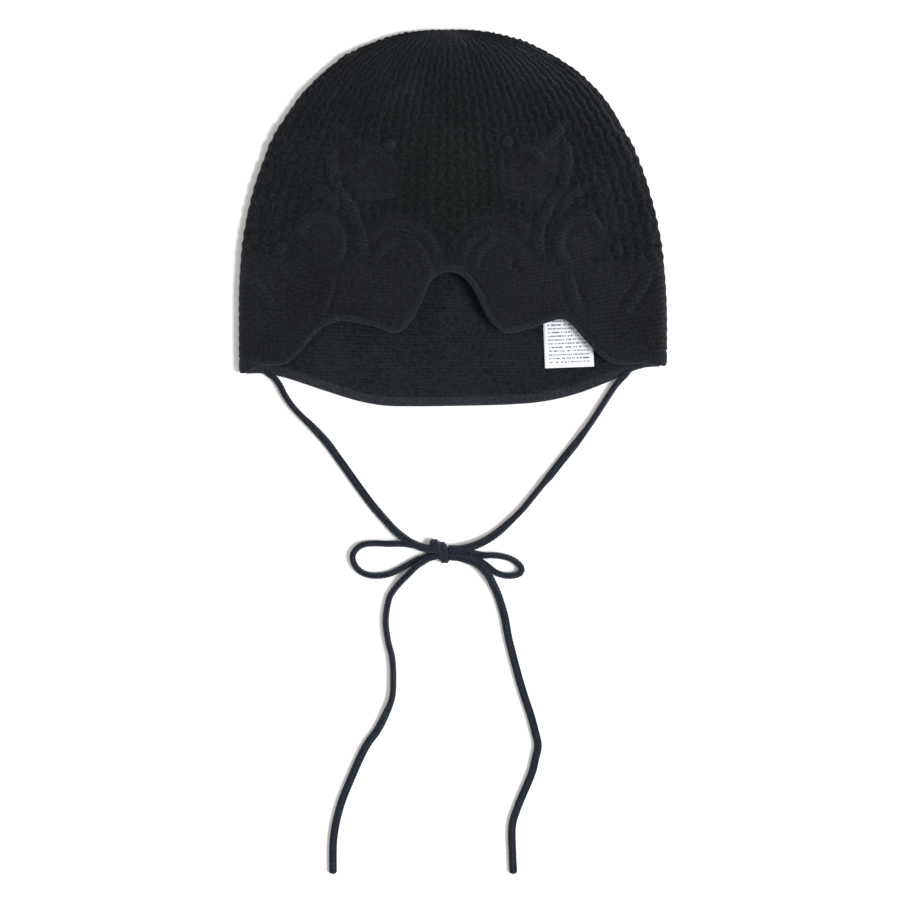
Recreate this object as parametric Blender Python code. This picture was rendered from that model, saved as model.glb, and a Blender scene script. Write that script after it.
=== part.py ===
"""Knit cap with chin ties, lying flat on its back layer.

Metres, +Z up. The cap lies on z = 0 with its crown towards +Y and its front layer upwards.
The origin is on the surface, under the middle of the cap without its cords.
Pieces: the hollow knit body with its raised pattern, the ribbed edging of the front and of the
back, the label sewn inside the back, two ties, the bow's two loops and two free ends, its knot.
"""
import math

import bmesh
import bpy
from mathutils import Vector

# Cap: overall size over the edgings, lying flat.
CAP_WIDTH = 0.2365
CAP_HEIGHT = 0.208
KNIT_WALL = 0.0026
SIDE_GAP = 0.0042
DOME_RISE = 0.0100
FOLD_RADIUS = KNIT_WALL + SIDE_GAP / 2
HALF_WIDTH = CAP_WIDTH / 2
CROWN_TOP = CAP_HEIGHT / 2

# Opening: how far the front is cut up, how far the back hangs down, how much the right corner lifts.
SCALLOP_RISE = 0.053
HEM_DROP = 0.0198
CORNER_LIFT = 0.0038
FRONT_EDGE_WIDTH = 0.0037
BACK_EDGE_WIDTH = 0.0055
EDGE_BULGE = 0.0005
SEAT_GAP = 0.0003
CORNER_LEVEL = BACK_EDGE_WIDTH / 2 + HEM_DROP - CAP_HEIGHT / 2

# Outline of the crown: the sides run straight below the shoulder, and above it they close
# as a rounded arch with these two powers. The crown's top lies a little to the left.
SHOULDER_SHARE = 0.14
CROWN_POWER = 2.2
SIDE_POWER = 2.3
CROWN_LEAN = 0.0022
SHOULDER = CORNER_LEVEL + SHOULDER_SHARE * (CROWN_TOP - CORNER_LEVEL)

# The front layer stands up less near its edge than in the middle of the cap. In the middle its
# rise starts this share of the scallop's rise above the corners.
RIM_DOME_SHARE = 0.36
RIM_LEVEL_SHARE = 0.6
DOME_RUN_SHARE = 0.6

# Middle line of the front edging, left to right.
# across: share of the half width, rise: share of the scallop's rise.
FRONT_EDGE_SHARES = (
    (-1.000, 0.000),
    (-0.900, 0.012),
    (-0.776, 0.047),
    (-0.640, 0.374),
    (-0.572, 0.470),
    (-0.500, 0.493),
    (-0.371, 0.436),
    (-0.271, 0.374),
    (-0.210, 0.467),
    (-0.159, 0.675),
    (-0.117, 0.883),
    (-0.063, 0.980),
    (-0.009, 1.000),
    (0.056, 0.940),
    (0.112, 0.789),
    (0.164, 0.550),
    (0.220, 0.405),
    (0.271, 0.368),
    (0.353, 0.415),
    (0.500, 0.509),
    (0.565, 0.447),
    (0.621, 0.312),
    (0.687, 0.135),
    (0.757, 0.020),
    (0.850, -0.020),
    (1.000, 0.000),
)

# Middle line of the back edging, left to right.
# across: share of the half width, drop: share of the hem's drop.
BACK_EDGE_SHARES = (
    (-1.000, 0.000),
    (-0.880, 0.050),
    (-0.780, 0.167),
    (-0.620, 0.470),
    (-0.453, 0.780),
    (-0.322, 0.944),
    (-0.190, 1.000),
    (0.000, 0.990),
    (0.262, 0.950),
    (0.425, 0.861),
    (0.570, 0.660),
    (0.706, 0.390),
    (0.776, 0.240),
    (0.855, 0.100),
    (1.000, 0.000),
)
LEAN_START_SHARE = 0.6
EDGE_BLEND_SHARE = 0.1

# Raised pattern of the front, one half: the other half is its mirror image.
# across: share of the half width from the pattern's middle, up: share of the height of the body.
PATTERN_SHIFT = -0.0022
RIDGE_WIDTH = 0.0040
RIDGE_HEIGHT = 0.0012
RIDGE_SHARES = {
    "long_cable": ((0.551, 0.652), (0.549, 0.601), (0.526, 0.533), (0.470, 0.480), (0.433, 0.430),
                   (0.411, 0.370), (0.423, 0.344)),
    "upper_vein": ((0.530, 0.711), (0.474, 0.675), (0.419, 0.646)),
    "outer_vein": ((0.619, 0.524), (0.563, 0.507), (0.516, 0.465)),
    "curl": ((0.428, 0.601), (0.400, 0.628), (0.353, 0.637), (0.312, 0.625)),
    "branch": ((0.428, 0.507), (0.353, 0.509), (0.251, 0.515)),
    "leaf_arch": ((0.351, 0.397), (0.330, 0.412), (0.270, 0.418), (0.163, 0.400), (0.098, 0.370),
                  (0.056, 0.320)),
    "leaf_edge": ((0.353, 0.320), (0.298, 0.361), (0.219, 0.379), (0.140, 0.343), (0.107, 0.293)),
    "petal": ((0.702, 0.395), (0.660, 0.437), (0.590, 0.440), (0.530, 0.412), (0.507, 0.350),
              (0.553, 0.299)),
    "side_vein": ((0.930, 0.275), (0.884, 0.225), (0.819, 0.166)),
    "lower_vein": ((0.551, 0.270), (0.572, 0.216), (0.600, 0.166)),
}

# Four knitted bobbles. across and up as above. Their middles stand above the cloth by the seat, and
# their rings lie at these levels, both as shares of a ball's radius.
BOBBLE_DIAMETER = 0.0062
BOBBLE_HEIGHT = 0.0026
BOBBLE_SEAT = 0.3
BOBBLE_LEVEL_SHARES = (-0.85, -0.40, 0.10, 0.60, 0.92)
BOBBLE_SHARES = ((-0.279, 0.655), (0.270, 0.664), (-0.786, 0.350), (0.784, 0.344))

# Label, sewn flat to the inside of the back layer; the front layer hides its upper part.
LABEL_WIDTH = 0.027
LABEL_LENGTH = 0.045
LABEL_THICKNESS = 0.0005
LABEL_TURN = math.radians(2.2)
LABEL_MIDDLE_ACROSS = 0.537
LABEL_FOOT_DROP = 0.001

# Cords and their knot. The routes' points are in millimetres: right, up and above the surface.
CORD_DIAMETER = 0.0033
KNOT_LENGTH = 0.0092
KNOT_WIDTH = 0.0112
KNOT_HEIGHT = 0.0086
KNOT_PLACE = (-0.0074, -0.1834)
KNOT_LEAN = -0.20
KNOT_TURNS = 2
KNOT_WAIST = 0.8
KNOT_FULLNESS = 0.7
CORD_POINT_EVERY = 3.0
LOOP_POINT_EVERY = 2.0
ON_FLOOR = 1.7
TOP_LAYER = 5.2
ROUTES = {
    "tie_left": (
        (-101.8, -86.25, ON_FLOOR), (-101.6, -87.8, ON_FLOOR), (-98.9, -90.7, ON_FLOOR),
        (-95.2, -94.0, ON_FLOOR), (-92.0, -98.4, ON_FLOOR), (-88.6, -102.8, ON_FLOOR),
        (-80.0, -111.9, ON_FLOOR), (-72.4, -119.6, ON_FLOOR),
        (-66.0, -128.2, ON_FLOOR), (-59.0, -138.7, ON_FLOOR), (-52.0, -149.2, ON_FLOOR),
        (-45.1, -158.3, ON_FLOOR), (-38.0, -166.0, ON_FLOOR), (-32.0, -172.0, 2.4),
        (-27.5, -175.6, 3.9), (-23.2, -178.8, 5.0), (-17.6, -181.2, TOP_LAYER),
        (-12.8, -182.1, TOP_LAYER),
    ),
    "tie_right": (
        (95.7, -86.75, ON_FLOOR), (95.5, -88.2, ON_FLOOR), (92.6, -91.0, ON_FLOOR),
        (88.8, -94.4, ON_FLOOR), (83.0, -101.9, ON_FLOOR), (78.0, -109.2, ON_FLOOR),
        (72.0, -118.1, ON_FLOOR), (64.7, -127.7, ON_FLOOR),
        (57.2, -136.7, ON_FLOOR), (50.0, -145.5, ON_FLOOR), (42.6, -154.3, ON_FLOOR),
        (35.2, -162.4, ON_FLOOR), (27.1, -169.7, 1.8), (19.3, -176.0, 2.7),
        (13.0, -179.9, 4.3), (7.2, -181.9, 5.1), (1.6, -182.6, TOP_LAYER),
        (-2.2, -182.6, TOP_LAYER),
    ),
    "loop_left": (
        (-12.6, -182.3, ON_FLOOR), (-16.5, -181.6, ON_FLOOR), (-22.6, -180.1, ON_FLOOR),
        (-29.0, -179.4, ON_FLOOR), (-35.4, -179.5, ON_FLOOR), (-42.6, -179.2, ON_FLOOR),
        (-48.6, -179.7, ON_FLOOR), (-52.5, -181.7, ON_FLOOR), (-54.9, -185.0, ON_FLOOR),
        (-55.0, -188.4, ON_FLOOR), (-53.4, -192.0, ON_FLOOR), (-50.3, -195.0, ON_FLOOR),
        (-45.9, -196.7, ON_FLOOR), (-41.0, -197.0, ON_FLOOR), (-35.4, -196.1, ON_FLOOR),
        (-29.7, -194.1, ON_FLOOR), (-24.2, -191.3, ON_FLOOR), (-19.2, -188.7, ON_FLOOR),
        (-15.6, -187.0, ON_FLOOR), (-12.9, -186.2, ON_FLOOR),
    ),
    "loop_right": (
        (-2.3, -182.4, ON_FLOOR), (2.8, -182.6, ON_FLOOR), (7.4, -183.4, ON_FLOOR),
        (11.6, -184.8, ON_FLOOR), (16.4, -185.8, ON_FLOOR), (22.0, -185.8, ON_FLOOR),
        (27.6, -186.4, ON_FLOOR), (32.6, -188.0, ON_FLOOR), (36.4, -190.8, ON_FLOOR),
        (37.9, -194.0, ON_FLOOR), (36.0, -196.2, ON_FLOOR), (32.2, -197.1, ON_FLOOR),
        (27.4, -196.8, ON_FLOOR), (22.4, -195.1, ON_FLOOR), (17.8, -192.8, ON_FLOOR),
        (13.2, -190.3, ON_FLOOR), (8.6, -188.2, ON_FLOOR), (3.2, -186.7, ON_FLOOR),
        (-2.1, -186.2, ON_FLOOR),
    ),
    "end_left": (
        (-13.1, -187.3, TOP_LAYER), (-16.2, -189.2, TOP_LAYER), (-20.2, -191.9, 5.1),
        (-24.4, -195.6, 4.3), (-28.9, -200.6, 2.5), (-33.0, -205.6, ON_FLOOR),
        (-35.4, -210.6, ON_FLOOR), (-37.0, -221.4, ON_FLOOR), (-35.8, -232.4, ON_FLOOR),
        (-33.4, -242.4, ON_FLOOR), (-32.8, -254.0, ON_FLOOR), (-34.0, -264.3, ON_FLOOR),
        (-37.4, -273.6, ON_FLOOR), (-42.4, -282.4, ON_FLOOR), (-47.2, -288.4, ON_FLOOR),
        (-51.0, -295.8, ON_FLOOR), (-54.7, -304.8, ON_FLOOR), (-61.8, -323.1, ON_FLOOR),
        (-65.6, -341.0, ON_FLOOR), (-66.0, -360.3, ON_FLOOR),
    ),
    "end_right": (
        (-2.1, -186.6, TOP_LAYER), (3.6, -187.2, TOP_LAYER), (9.6, -188.8, TOP_LAYER),
        (14.6, -191.4, TOP_LAYER), (19.2, -196.4, 4.5), (23.1, -202.4, 2.5),
        (26.0, -208.7, ON_FLOOR), (29.2, -219.4, ON_FLOOR), (30.9, -232.0, ON_FLOOR),
        (35.9, -250.9, ON_FLOOR), (39.4, -261.8, ON_FLOOR), (43.2, -273.6, ON_FLOOR),
        (45.9, -283.6, ON_FLOOR), (46.9, -290.5, ON_FLOOR), (45.1, -298.0, ON_FLOOR),
        (42.6, -306.4, ON_FLOOR), (35.0, -324.1, ON_FLOOR), (32.8, -335.0, ON_FLOOR),
        (32.7, -350.0, ON_FLOOR), (33.2, -360.3, ON_FLOOR),
    ),
}
LOOPS = ("loop_left", "loop_right")
TIES = ("tie_left", "tie_right")

# Mesh fineness.
SMOOTH_PARTS = 8
EDGE_LINE_PARTS = 12
SHARP_ANGLE = math.radians(50)
FOLD_STEPS = 4
FRONT_STEPS = 52
BACK_STEPS = 24
OUTER_ROWS = 20
INNER_ROWS = 9
EDGE_SIDES = 8
RIDGE_SIDES = 6
RIDGE_END_SHARE = 0.45
BOBBLE_SIDES = 10
RIDGE_POINT_EVERY = 1.3
KNOT_SIDES = 14
KNOT_RINGS = 12

BLACK_KNIT = (0.010, 0.011, 0.014)
BLACK_RIB = (0.013, 0.014, 0.019)
BLACK_CORD = (0.017, 0.019, 0.026)
WHITE_SATIN = (0.82, 0.82, 0.81)


def clear_scene():
    for thing in list(bpy.data.objects):
        bpy.data.objects.remove(thing)


def smooth_step(value):
    value = min(1.0, max(0.0, value))
    return value * value * (3.0 - 2.0 * value)


def mix(first, second, share):
    return first + (second - first) * share


def smooth_curve(points, parts=SMOOTH_PARTS):
    """Points on the Catmull-Rom curve through the given points."""
    knots = [Vector(point) for point in points]
    knots = [2 * knots[0] - knots[1]] + knots + [2 * knots[-1] - knots[-2]]
    curve = []
    for a, b, c, d in zip(knots, knots[1:], knots[2:], knots[3:]):
        for part in range(parts):
            t = part / parts
            bend = (2 * a - 5 * b + 4 * c - d) * t * t + (3 * b - a - 3 * c + d) * t ** 3
            curve.append(b + ((c - a) * t + bend) / 2)
    curve.append(knots[-2])
    return curve


def spaced(curve, count):
    """The curve's point and direction at count + 1 even steps along its length."""
    reach = [0.0]
    for here, there in zip(curve, curve[1:]):
        reach.append(reach[-1] + (there - here).length)
    found = []
    piece = 0
    for step in range(count + 1):
        goal = reach[-1] * step / count
        while piece < len(curve) - 2 and reach[piece + 1] < goal:
            piece += 1
        run = reach[piece + 1] - reach[piece]
        place = curve[piece].lerp(curve[piece + 1], (goal - reach[piece]) / run)
        found.append((place, (curve[piece + 1] - curve[piece]).normalized()))
    return found


def curve_length(curve):
    return sum((there - here).length for here, there in zip(curve, curve[1:]))


def crown_room(y, inset):
    """How open the arch of the crown still is at this height: 1 below the shoulder, 0 at the top."""
    climb = (y - SHOULDER) / (CROWN_TOP - inset - SHOULDER)
    return 1.0 - min(1.0, max(0.0, climb)) ** CROWN_POWER


def half_width_at(y, inset):
    return (HALF_WIDTH - inset) * crown_room(y, inset) ** (1 / SIDE_POWER)


def middle_at(y):
    """Where the middle of the cap lies at this height."""
    return -CROWN_LEAN * max(0.0, (y - SHOULDER) / (CROWN_TOP - SHOULDER))


def dome_height(x, y):
    """How far the front layer stands up above the level of the side folds."""
    room = crown_room(y, 0.0)
    half = max(half_width_at(y, 0.0), SEAT_GAP)
    inside = room * max(0.0, 1.0 - abs((x - middle_at(y)) / half) ** SIDE_POWER)
    start = CORNER_LEVEL + RIM_LEVEL_SHARE * SCALLOP_RISE * (1.0 - (x / HALF_WIDTH) ** 2)
    up = (y - start) / (CROWN_TOP - CORNER_LEVEL)
    return DOME_RISE * inside * mix(RIM_DOME_SHARE, 1.0, smooth_step(up / DOME_RUN_SHARE))


def cloth_point(across, y, inset, side):
    """A point of the cloth, side 1 on the front layer and -1 on the back layer.

    across is its share of the half width at y, inset its depth below the outer face.
    """
    room = crown_room(y, inset)
    x = middle_at(y) + across * half_width_at(y, inset)
    radius = FOLD_RADIUS - inset
    inside = room * (1.0 - abs(across) ** SIDE_POWER)
    turn = min(1.0, inside * HALF_WIDTH / (SIDE_POWER * radius))
    rise = radius * math.sqrt(1.0 - (1.0 - turn) ** 2)
    if side < 0:
        return Vector((x, y, FOLD_RADIUS - rise))
    return Vector((x, y, FOLD_RADIUS + rise + dome_height(x, y)))


def front_height(x, y):
    return cloth_point((x - middle_at(y)) / half_width_at(y, 0.0), y, 0.0, 1).z


def edge_line(side):
    """The middle line of the front (1) or the back (-1) edging, left to right, seen from above."""
    if side > 0:
        shares, size = FRONT_EDGE_SHARES, SCALLOP_RISE
    else:
        shares, size = BACK_EDGE_SHARES, -HEM_DROP
    line = []
    for across, share in shares:
        lean = CORNER_LIFT * smooth_step((across - LEAN_START_SHARE) / (1.0 - LEAN_START_SHARE))
        line.append((across * HALF_WIDTH, CORNER_LEVEL + lean + size * share, 0.0))
    return smooth_curve(line, EDGE_LINE_PARTS)


class Station:
    """One place along the opening's edge, from which a column of the body's mesh starts."""

    def __init__(self, side, place, uphill, fold_angle, share):
        self.side = side
        self.place = place
        self.uphill = uphill
        self.fold_angle = fold_angle
        self.share = share
        reach = smooth_step((HALF_WIDTH - abs(place.x)) / (CAP_WIDTH * EDGE_BLEND_SHARE))
        self.frontness = reach if side > 0 else 0.0
        self.edge_width = mix(BACK_EDGE_WIDTH, FRONT_EDGE_WIDTH, self.frontness)

    def across(self, offset, inset):
        """Share of the half width, offset from the middle line towards the crown."""
        half = HALF_WIDTH - inset
        if self.fold_angle is not None:
            radius = FOLD_RADIUS - inset
            return math.copysign(1.0 - radius * (1.0 - math.cos(self.fold_angle)) / half, self.place.x)
        spot = self.place + self.uphill * offset
        return (spot.x - middle_at(spot.y)) / half_width_at(spot.y, inset)

    def point(self, offset, inset):
        y = (self.place + self.uphill * offset).y
        return cloth_point(self.across(offset, inset), y, inset, self.side)

    def rim(self):
        return self.edge_width / 2 + SEAT_GAP

    def crown_across(self, inset):
        """Where the column runs in the crown, where the columns are evenly spread."""
        if self.fold_angle is not None:
            return self.across(0.0, inset)
        return self.share * (1.0 - (FOLD_RADIUS - inset) / (HALF_WIDTH - inset))


def edge_stations(side, steps):
    """Stations from the right side fold to the left one, along the front or the back."""
    line = edge_line(side)
    limit = HALF_WIDTH - FOLD_RADIUS
    inner = [point for point in line if abs(point.x) < limit]
    corner_y = {1: line[-1].y, -1: line[0].y}
    inner = [Vector((-limit, inner[0].y, 0.0))] + inner + [Vector((limit, inner[-1].y, 0.0))]
    stations = []
    for step in range(FOLD_STEPS):
        angle = step * math.pi / 2 / FOLD_STEPS
        x = limit + FOLD_RADIUS * math.cos(angle)
        stations.append(Station(side, Vector((x, corner_y[1], 0.0)), Vector((0, 1, 0)), angle, 1.0))
    for step, (place, way) in enumerate(reversed(spaced(inner, steps))):
        uphill = Vector((-way.y, way.x, 0.0))
        stations.append(Station(side, place, uphill, None, 1.0 - 2.0 * step / steps))
    for step in reversed(range(FOLD_STEPS)):
        angle = step * math.pi / 2 / FOLD_STEPS
        x = -limit - FOLD_RADIUS * math.cos(angle)
        stations.append(Station(side, Vector((x, corner_y[-1], 0.0)), Vector((0, 1, 0)), angle, -1.0))
    return stations


def column(station, inset, rows):
    """The body's points from the rim up to just below the crown's top."""
    top = CROWN_TOP - inset
    foot = (station.place + station.uphill * station.rim()).y
    low = station.across(station.rim(), inset)
    high = station.crown_across(inset)
    points = []
    for row in range(rows):
        climb = row / rows
        y = mix(foot, top, math.sin(climb * math.pi / 2))
        points.append(cloth_point(mix(low, high, smooth_step(2 * climb)), y, inset, station.side))
    return points


def material(name, colour, roughness):
    made = bpy.data.materials.new(name)
    made.use_nodes = True
    shader = made.node_tree.nodes["Principled BSDF"]
    shader.inputs["Base Color"].default_value = (*colour, 1.0)
    shader.inputs["Roughness"].default_value = roughness
    shader.inputs["Metallic"].default_value = 0.0
    return made


def add_object(name, data, finish=None):
    made = bpy.data.objects.new(name, data)
    bpy.context.scene.collection.objects.link(made)
    if finish is not None:
        data.materials.append(finish)
    return made


def mesh_object(name, vertices, faces, finish=None):
    """A smooth-shaded mesh object with its faces turned outwards."""
    data = bpy.data.meshes.new(name)
    data.from_pydata([tuple(vertex) for vertex in vertices], [], faces)
    work = bmesh.new()
    work.from_mesh(data)
    bmesh.ops.recalc_face_normals(work, faces=work.faces)
    work.to_mesh(data)
    work.free()
    data.shade_smooth()
    data.set_sharp_from_angle(angle=SHARP_ANGLE)
    return add_object(name, data, finish)


def swept(rings):
    """Vertices and faces of a closed body through rings of as many points each."""
    sides = len(rings[0])
    vertices = [point for ring in rings for point in ring]
    faces = [tuple(range(sides)), tuple(range(len(vertices) - sides, len(vertices)))]
    for ring in range(len(rings) - 1):
        for side in range(sides):
            a = ring * sides + side
            b = ring * sides + (side + 1) % sides
            faces.append((a, b, b + sides, a + sides))
    return vertices, faces


def body_shell(front, back, finish):
    """The hollow body: an outer and an inner skin, joined round the opening."""
    ring = front[:-1] + back[::-1][:-1]
    vertices = []
    faces = []
    starts = []
    for inset, rows in ((0.0, OUTER_ROWS), (KNIT_WALL, INNER_ROWS)):
        start = len(vertices)
        starts.append((start, rows))
        for station in ring:
            vertices.extend(column(station, inset, rows))
        pole = len(vertices)
        vertices.append(Vector((middle_at(CROWN_TOP - inset), CROWN_TOP - inset, FOLD_RADIUS)))
        for index in range(len(ring)):
            here = start + index * rows
            there = start + (index + 1) % len(ring) * rows
            for row in range(rows - 1):
                faces.append((here + row, there + row, there + row + 1, here + row + 1))
            faces.append((here + rows - 1, there + rows - 1, pole))
    (outer, outer_rows), (inner, inner_rows) = starts
    for index in range(len(ring)):
        after = (index + 1) % len(ring)
        faces.append((outer + index * outer_rows, outer + after * outer_rows,
                      inner + after * inner_rows, inner + index * inner_rows))
    return mesh_object("cap_body", vertices, faces, finish)


def pattern_place(across, up):
    x = PATTERN_SHIFT + across * HALF_WIDTH
    y = mix(CORNER_LEVEL, CROWN_TOP, up)
    return Vector((x, y, front_height(x, y)))


def front_normal(place):
    """The front layer's outward direction at a place."""
    step = KNIT_WALL
    east = front_height(place.x + step, place.y) - front_height(place.x - step, place.y)
    north = front_height(place.x, place.y + step) - front_height(place.x, place.y - step)
    return Vector((-east, -north, 2 * step)).normalized()


def ridge_body(points):
    """A raised knit ridge, half sunk in the cloth, narrower at its two ends."""
    curve = smooth_curve([pattern_place(across, up) for across, up in points])
    count = max(3, round(curve_length(curve) / (RIDGE_POINT_EVERY * RIDGE_WIDTH)))
    rings = []
    for step, (place, way) in enumerate(spaced(curve, count)):
        size = RIDGE_END_SHARE if step in (0, count) else 1.0
        up = front_normal(place)
        aside = way.cross(up).normalized()
        ring = []
        for side in range(RIDGE_SIDES):
            angle = 2 * math.pi * side / RIDGE_SIDES
            out = aside * (math.cos(angle) * RIDGE_WIDTH / 2) + up * (math.sin(angle) * RIDGE_HEIGHT)
            ring.append(place + out * size)
        rings.append(ring)
    return swept(rings)


def bobble_body(across, up):
    """A small round knot of yarn standing on the cloth."""
    place = pattern_place(across, up)
    normal = front_normal(place)
    east = Vector((0, 1, 0)).cross(normal).normalized()
    north = normal.cross(east)
    rings = []
    for level in BOBBLE_LEVEL_SHARES:
        wide = math.sqrt(1.0 - level * level) * BOBBLE_DIAMETER / 2
        share = (level + BOBBLE_SEAT) / (BOBBLE_LEVEL_SHARES[-1] + BOBBLE_SEAT)
        middle = place + normal * share * BOBBLE_HEIGHT
        ring = []
        for side in range(BOBBLE_SIDES):
            angle = 2 * math.pi * side / BOBBLE_SIDES
            ring.append(middle + (east * math.cos(angle) + north * math.sin(angle)) * wide)
        rings.append(ring)
    return swept(rings)


def relief_guide():
    """All raised shapes of the pattern in one hidden guide, which the body then takes up."""
    bodies = []
    for points in RIDGE_SHARES.values():
        for hand in (-1, 1):
            bodies.append(ridge_body([(hand * across, up) for across, up in points]))
    for across, up in BOBBLE_SHARES:
        bodies.append(bobble_body(across, up))
    vertices = []
    faces = []
    for body_vertices, body_faces in bodies:
        start = len(vertices)
        vertices.extend(body_vertices)
        faces.extend(tuple(start + corner for corner in face) for face in body_faces)
    guide = mesh_object("relief_guide", vertices, faces)
    guide.hide_render = True
    guide.display_type = "WIRE"
    return guide


def edging(name, stations, finish):
    """A rounded ribbed edge that follows the rim, its ends half a gap clear of the side seam."""
    rings = []
    for index, station in enumerate(stations):
        proud = EDGE_BULGE * station.frontness
        depth = KNIT_WALL + EDGE_BULGE + proud
        ring = []
        for side in range(EDGE_SIDES):
            angle = 2 * math.pi * (side + 0.5) / EDGE_SIDES
            flat = 1.0 / math.cos(math.pi / EDGE_SIDES)
            offset = station.edge_width / 2 * min(1.0, flat * abs(math.cos(angle)))
            offset = math.copysign(offset, math.cos(angle))
            inset = depth / 2 * (1.0 + max(-1.0, min(1.0, flat * math.sin(angle)))) - proud
            ring.append(station.point(offset, inset))
        rings.append(ring)
    lift = Vector((0, 0, SEAT_GAP / 2 * stations[0].side))
    for end in (0, -1):
        rings[end] = [point + lift for point in rings[end]]
    vertices, faces = swept(rings)
    return mesh_object(name, vertices, faces, finish)


def care_label(finish):
    """A plain woven label, turned a little, flat on the inside of the back layer."""
    foot = CORNER_LEVEL - LABEL_FOOT_DROP
    middle = Vector((LABEL_MIDDLE_ACROSS * HALF_WIDTH, foot + LABEL_LENGTH / 2, 0.0))
    right = Vector((math.cos(LABEL_TURN), math.sin(LABEL_TURN), 0.0)) * LABEL_WIDTH / 2
    up = Vector((-math.sin(LABEL_TURN), math.cos(LABEL_TURN), 0.0)) * LABEL_LENGTH / 2
    low = KNIT_WALL + SEAT_GAP
    rings = []
    for height in (low, low + LABEL_THICKNESS):
        ring = []
        for across, along in ((-1, -1), (1, -1), (1, 1), (-1, 1)):
            spot = middle + right * across + up * along
            ring.append(Vector((spot.x, spot.y, height)))
        rings.append(ring)
    vertices, faces = swept(rings)
    return mesh_object("care_label", vertices, faces, finish)


def cord(name, finish):
    """A round cord along its route, with flat closed ends."""
    route = [Vector(point) / 1000 for point in ROUTES[name]]
    every = (LOOP_POINT_EVERY if name in LOOPS else CORD_POINT_EVERY) * CORD_DIAMETER
    if name in TIES:
        curve = smooth_curve(route)[SMOOTH_PARTS:]
    else:
        curve = smooth_curve(route)
    places = [place for place, way in spaced(curve, round(curve_length(curve) / every))]
    if name in TIES:
        places.insert(0, route[0])
    data = bpy.data.curves.new(name, "CURVE")
    data.dimensions = "3D"
    data.bevel_depth = CORD_DIAMETER / 2
    data.bevel_resolution = 2
    data.use_fill_caps = True
    spline = data.splines.new("POLY")
    spline.points.add(len(places) - 1)
    for point, place in zip(spline.points, places):
        point.co = (*place, 1.0)
    spline.use_smooth = True
    return add_object(name, data, finish)


def bow_knot(finish):
    """Two turns of cord side by side, drawn tight round the strands of the bow."""
    rings = []
    for index in range(KNOT_RINGS + 1):
        share = index / KNOT_RINGS
        bulge = abs(math.sin(math.pi * KNOT_TURNS * share)) ** KNOT_FULLNESS
        size = mix(KNOT_WAIST, 1.0, bulge)
        x = (share - 0.5) * KNOT_LENGTH
        ring = []
        for side in range(KNOT_SIDES):
            angle = 2 * math.pi * side / KNOT_SIDES
            y = KNOT_PLACE[1] + KNOT_LEAN * x + size * KNOT_WIDTH / 2 * math.cos(angle)
            z = KNOT_HEIGHT / 2 + size * KNOT_HEIGHT / 2 * math.sin(angle)
            ring.append(Vector((KNOT_PLACE[0] + x, y, z)))
        rings.append(ring)
    vertices, faces = swept(rings)
    return mesh_object("bow_knot", vertices, faces, finish)


def build():
    clear_scene()
    knit = material("black_knit", BLACK_KNIT, 0.9)
    front = edge_stations(1, FRONT_STEPS)
    back = edge_stations(-1, BACK_STEPS)
    body = body_shell(front, back, knit)
    union = body.modifiers.new("raised_pattern", "BOOLEAN")
    union.operation = "UNION"
    union.solver = "EXACT"
    union.object = relief_guide()
    edging("front_edging", front, material("front_rib", BLACK_RIB, 0.85))
    edging("back_edging", back, material("back_rib", BLACK_RIB, 0.85))
    care_label(material("white_satin", WHITE_SATIN, 0.55))
    for name in ROUTES:
        cord(name, material(name + "_knit", BLACK_CORD, 0.85))
    bow_knot(material("knot_knit", BLACK_CORD, 0.85))


build()
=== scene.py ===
"""Knit cap with chin ties, lying flat on a pale floor: its finish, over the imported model.

Metres, +Z up, the crown towards +Y. The knit body, its two ribbed edgings, the label and the cords
follow the surfaces and routes of the solids closely, and get their stitches, pattern and yarn here.
"""
import math

import bmesh
import bpy
import numpy as np
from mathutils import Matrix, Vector


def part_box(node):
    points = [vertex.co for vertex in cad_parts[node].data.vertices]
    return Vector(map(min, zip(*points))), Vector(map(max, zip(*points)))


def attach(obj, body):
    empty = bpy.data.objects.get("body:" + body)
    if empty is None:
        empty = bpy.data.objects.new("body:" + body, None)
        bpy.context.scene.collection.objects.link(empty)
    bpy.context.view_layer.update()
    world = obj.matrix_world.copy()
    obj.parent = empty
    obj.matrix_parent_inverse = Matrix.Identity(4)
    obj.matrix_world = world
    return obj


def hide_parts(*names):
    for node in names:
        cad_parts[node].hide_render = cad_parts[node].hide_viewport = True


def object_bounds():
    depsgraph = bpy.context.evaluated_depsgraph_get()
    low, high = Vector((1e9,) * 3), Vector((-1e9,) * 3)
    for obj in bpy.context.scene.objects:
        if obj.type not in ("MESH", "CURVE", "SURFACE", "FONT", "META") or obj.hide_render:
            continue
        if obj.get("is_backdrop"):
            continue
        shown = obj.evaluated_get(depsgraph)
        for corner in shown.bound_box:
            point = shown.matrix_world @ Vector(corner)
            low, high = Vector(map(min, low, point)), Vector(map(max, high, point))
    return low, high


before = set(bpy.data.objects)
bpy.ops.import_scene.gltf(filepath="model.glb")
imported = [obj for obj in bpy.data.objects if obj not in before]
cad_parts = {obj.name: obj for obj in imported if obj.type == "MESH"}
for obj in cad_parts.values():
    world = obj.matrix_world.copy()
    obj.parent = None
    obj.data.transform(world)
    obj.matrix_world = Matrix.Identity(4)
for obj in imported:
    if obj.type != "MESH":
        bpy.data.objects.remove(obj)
CAD_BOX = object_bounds()

# The cap's own size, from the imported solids, less the yarn that stands proud of its outline.
YARN_PROUD = 0.0006
BODY_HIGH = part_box("cap_body")[1]
HEM_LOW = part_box("back_edging")[0]
HALF_WIDTH = BODY_HIGH[0] - YARN_PROUD
CROWN_TOP = BODY_HIGH[1] - 2 * YARN_PROUD

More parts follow.
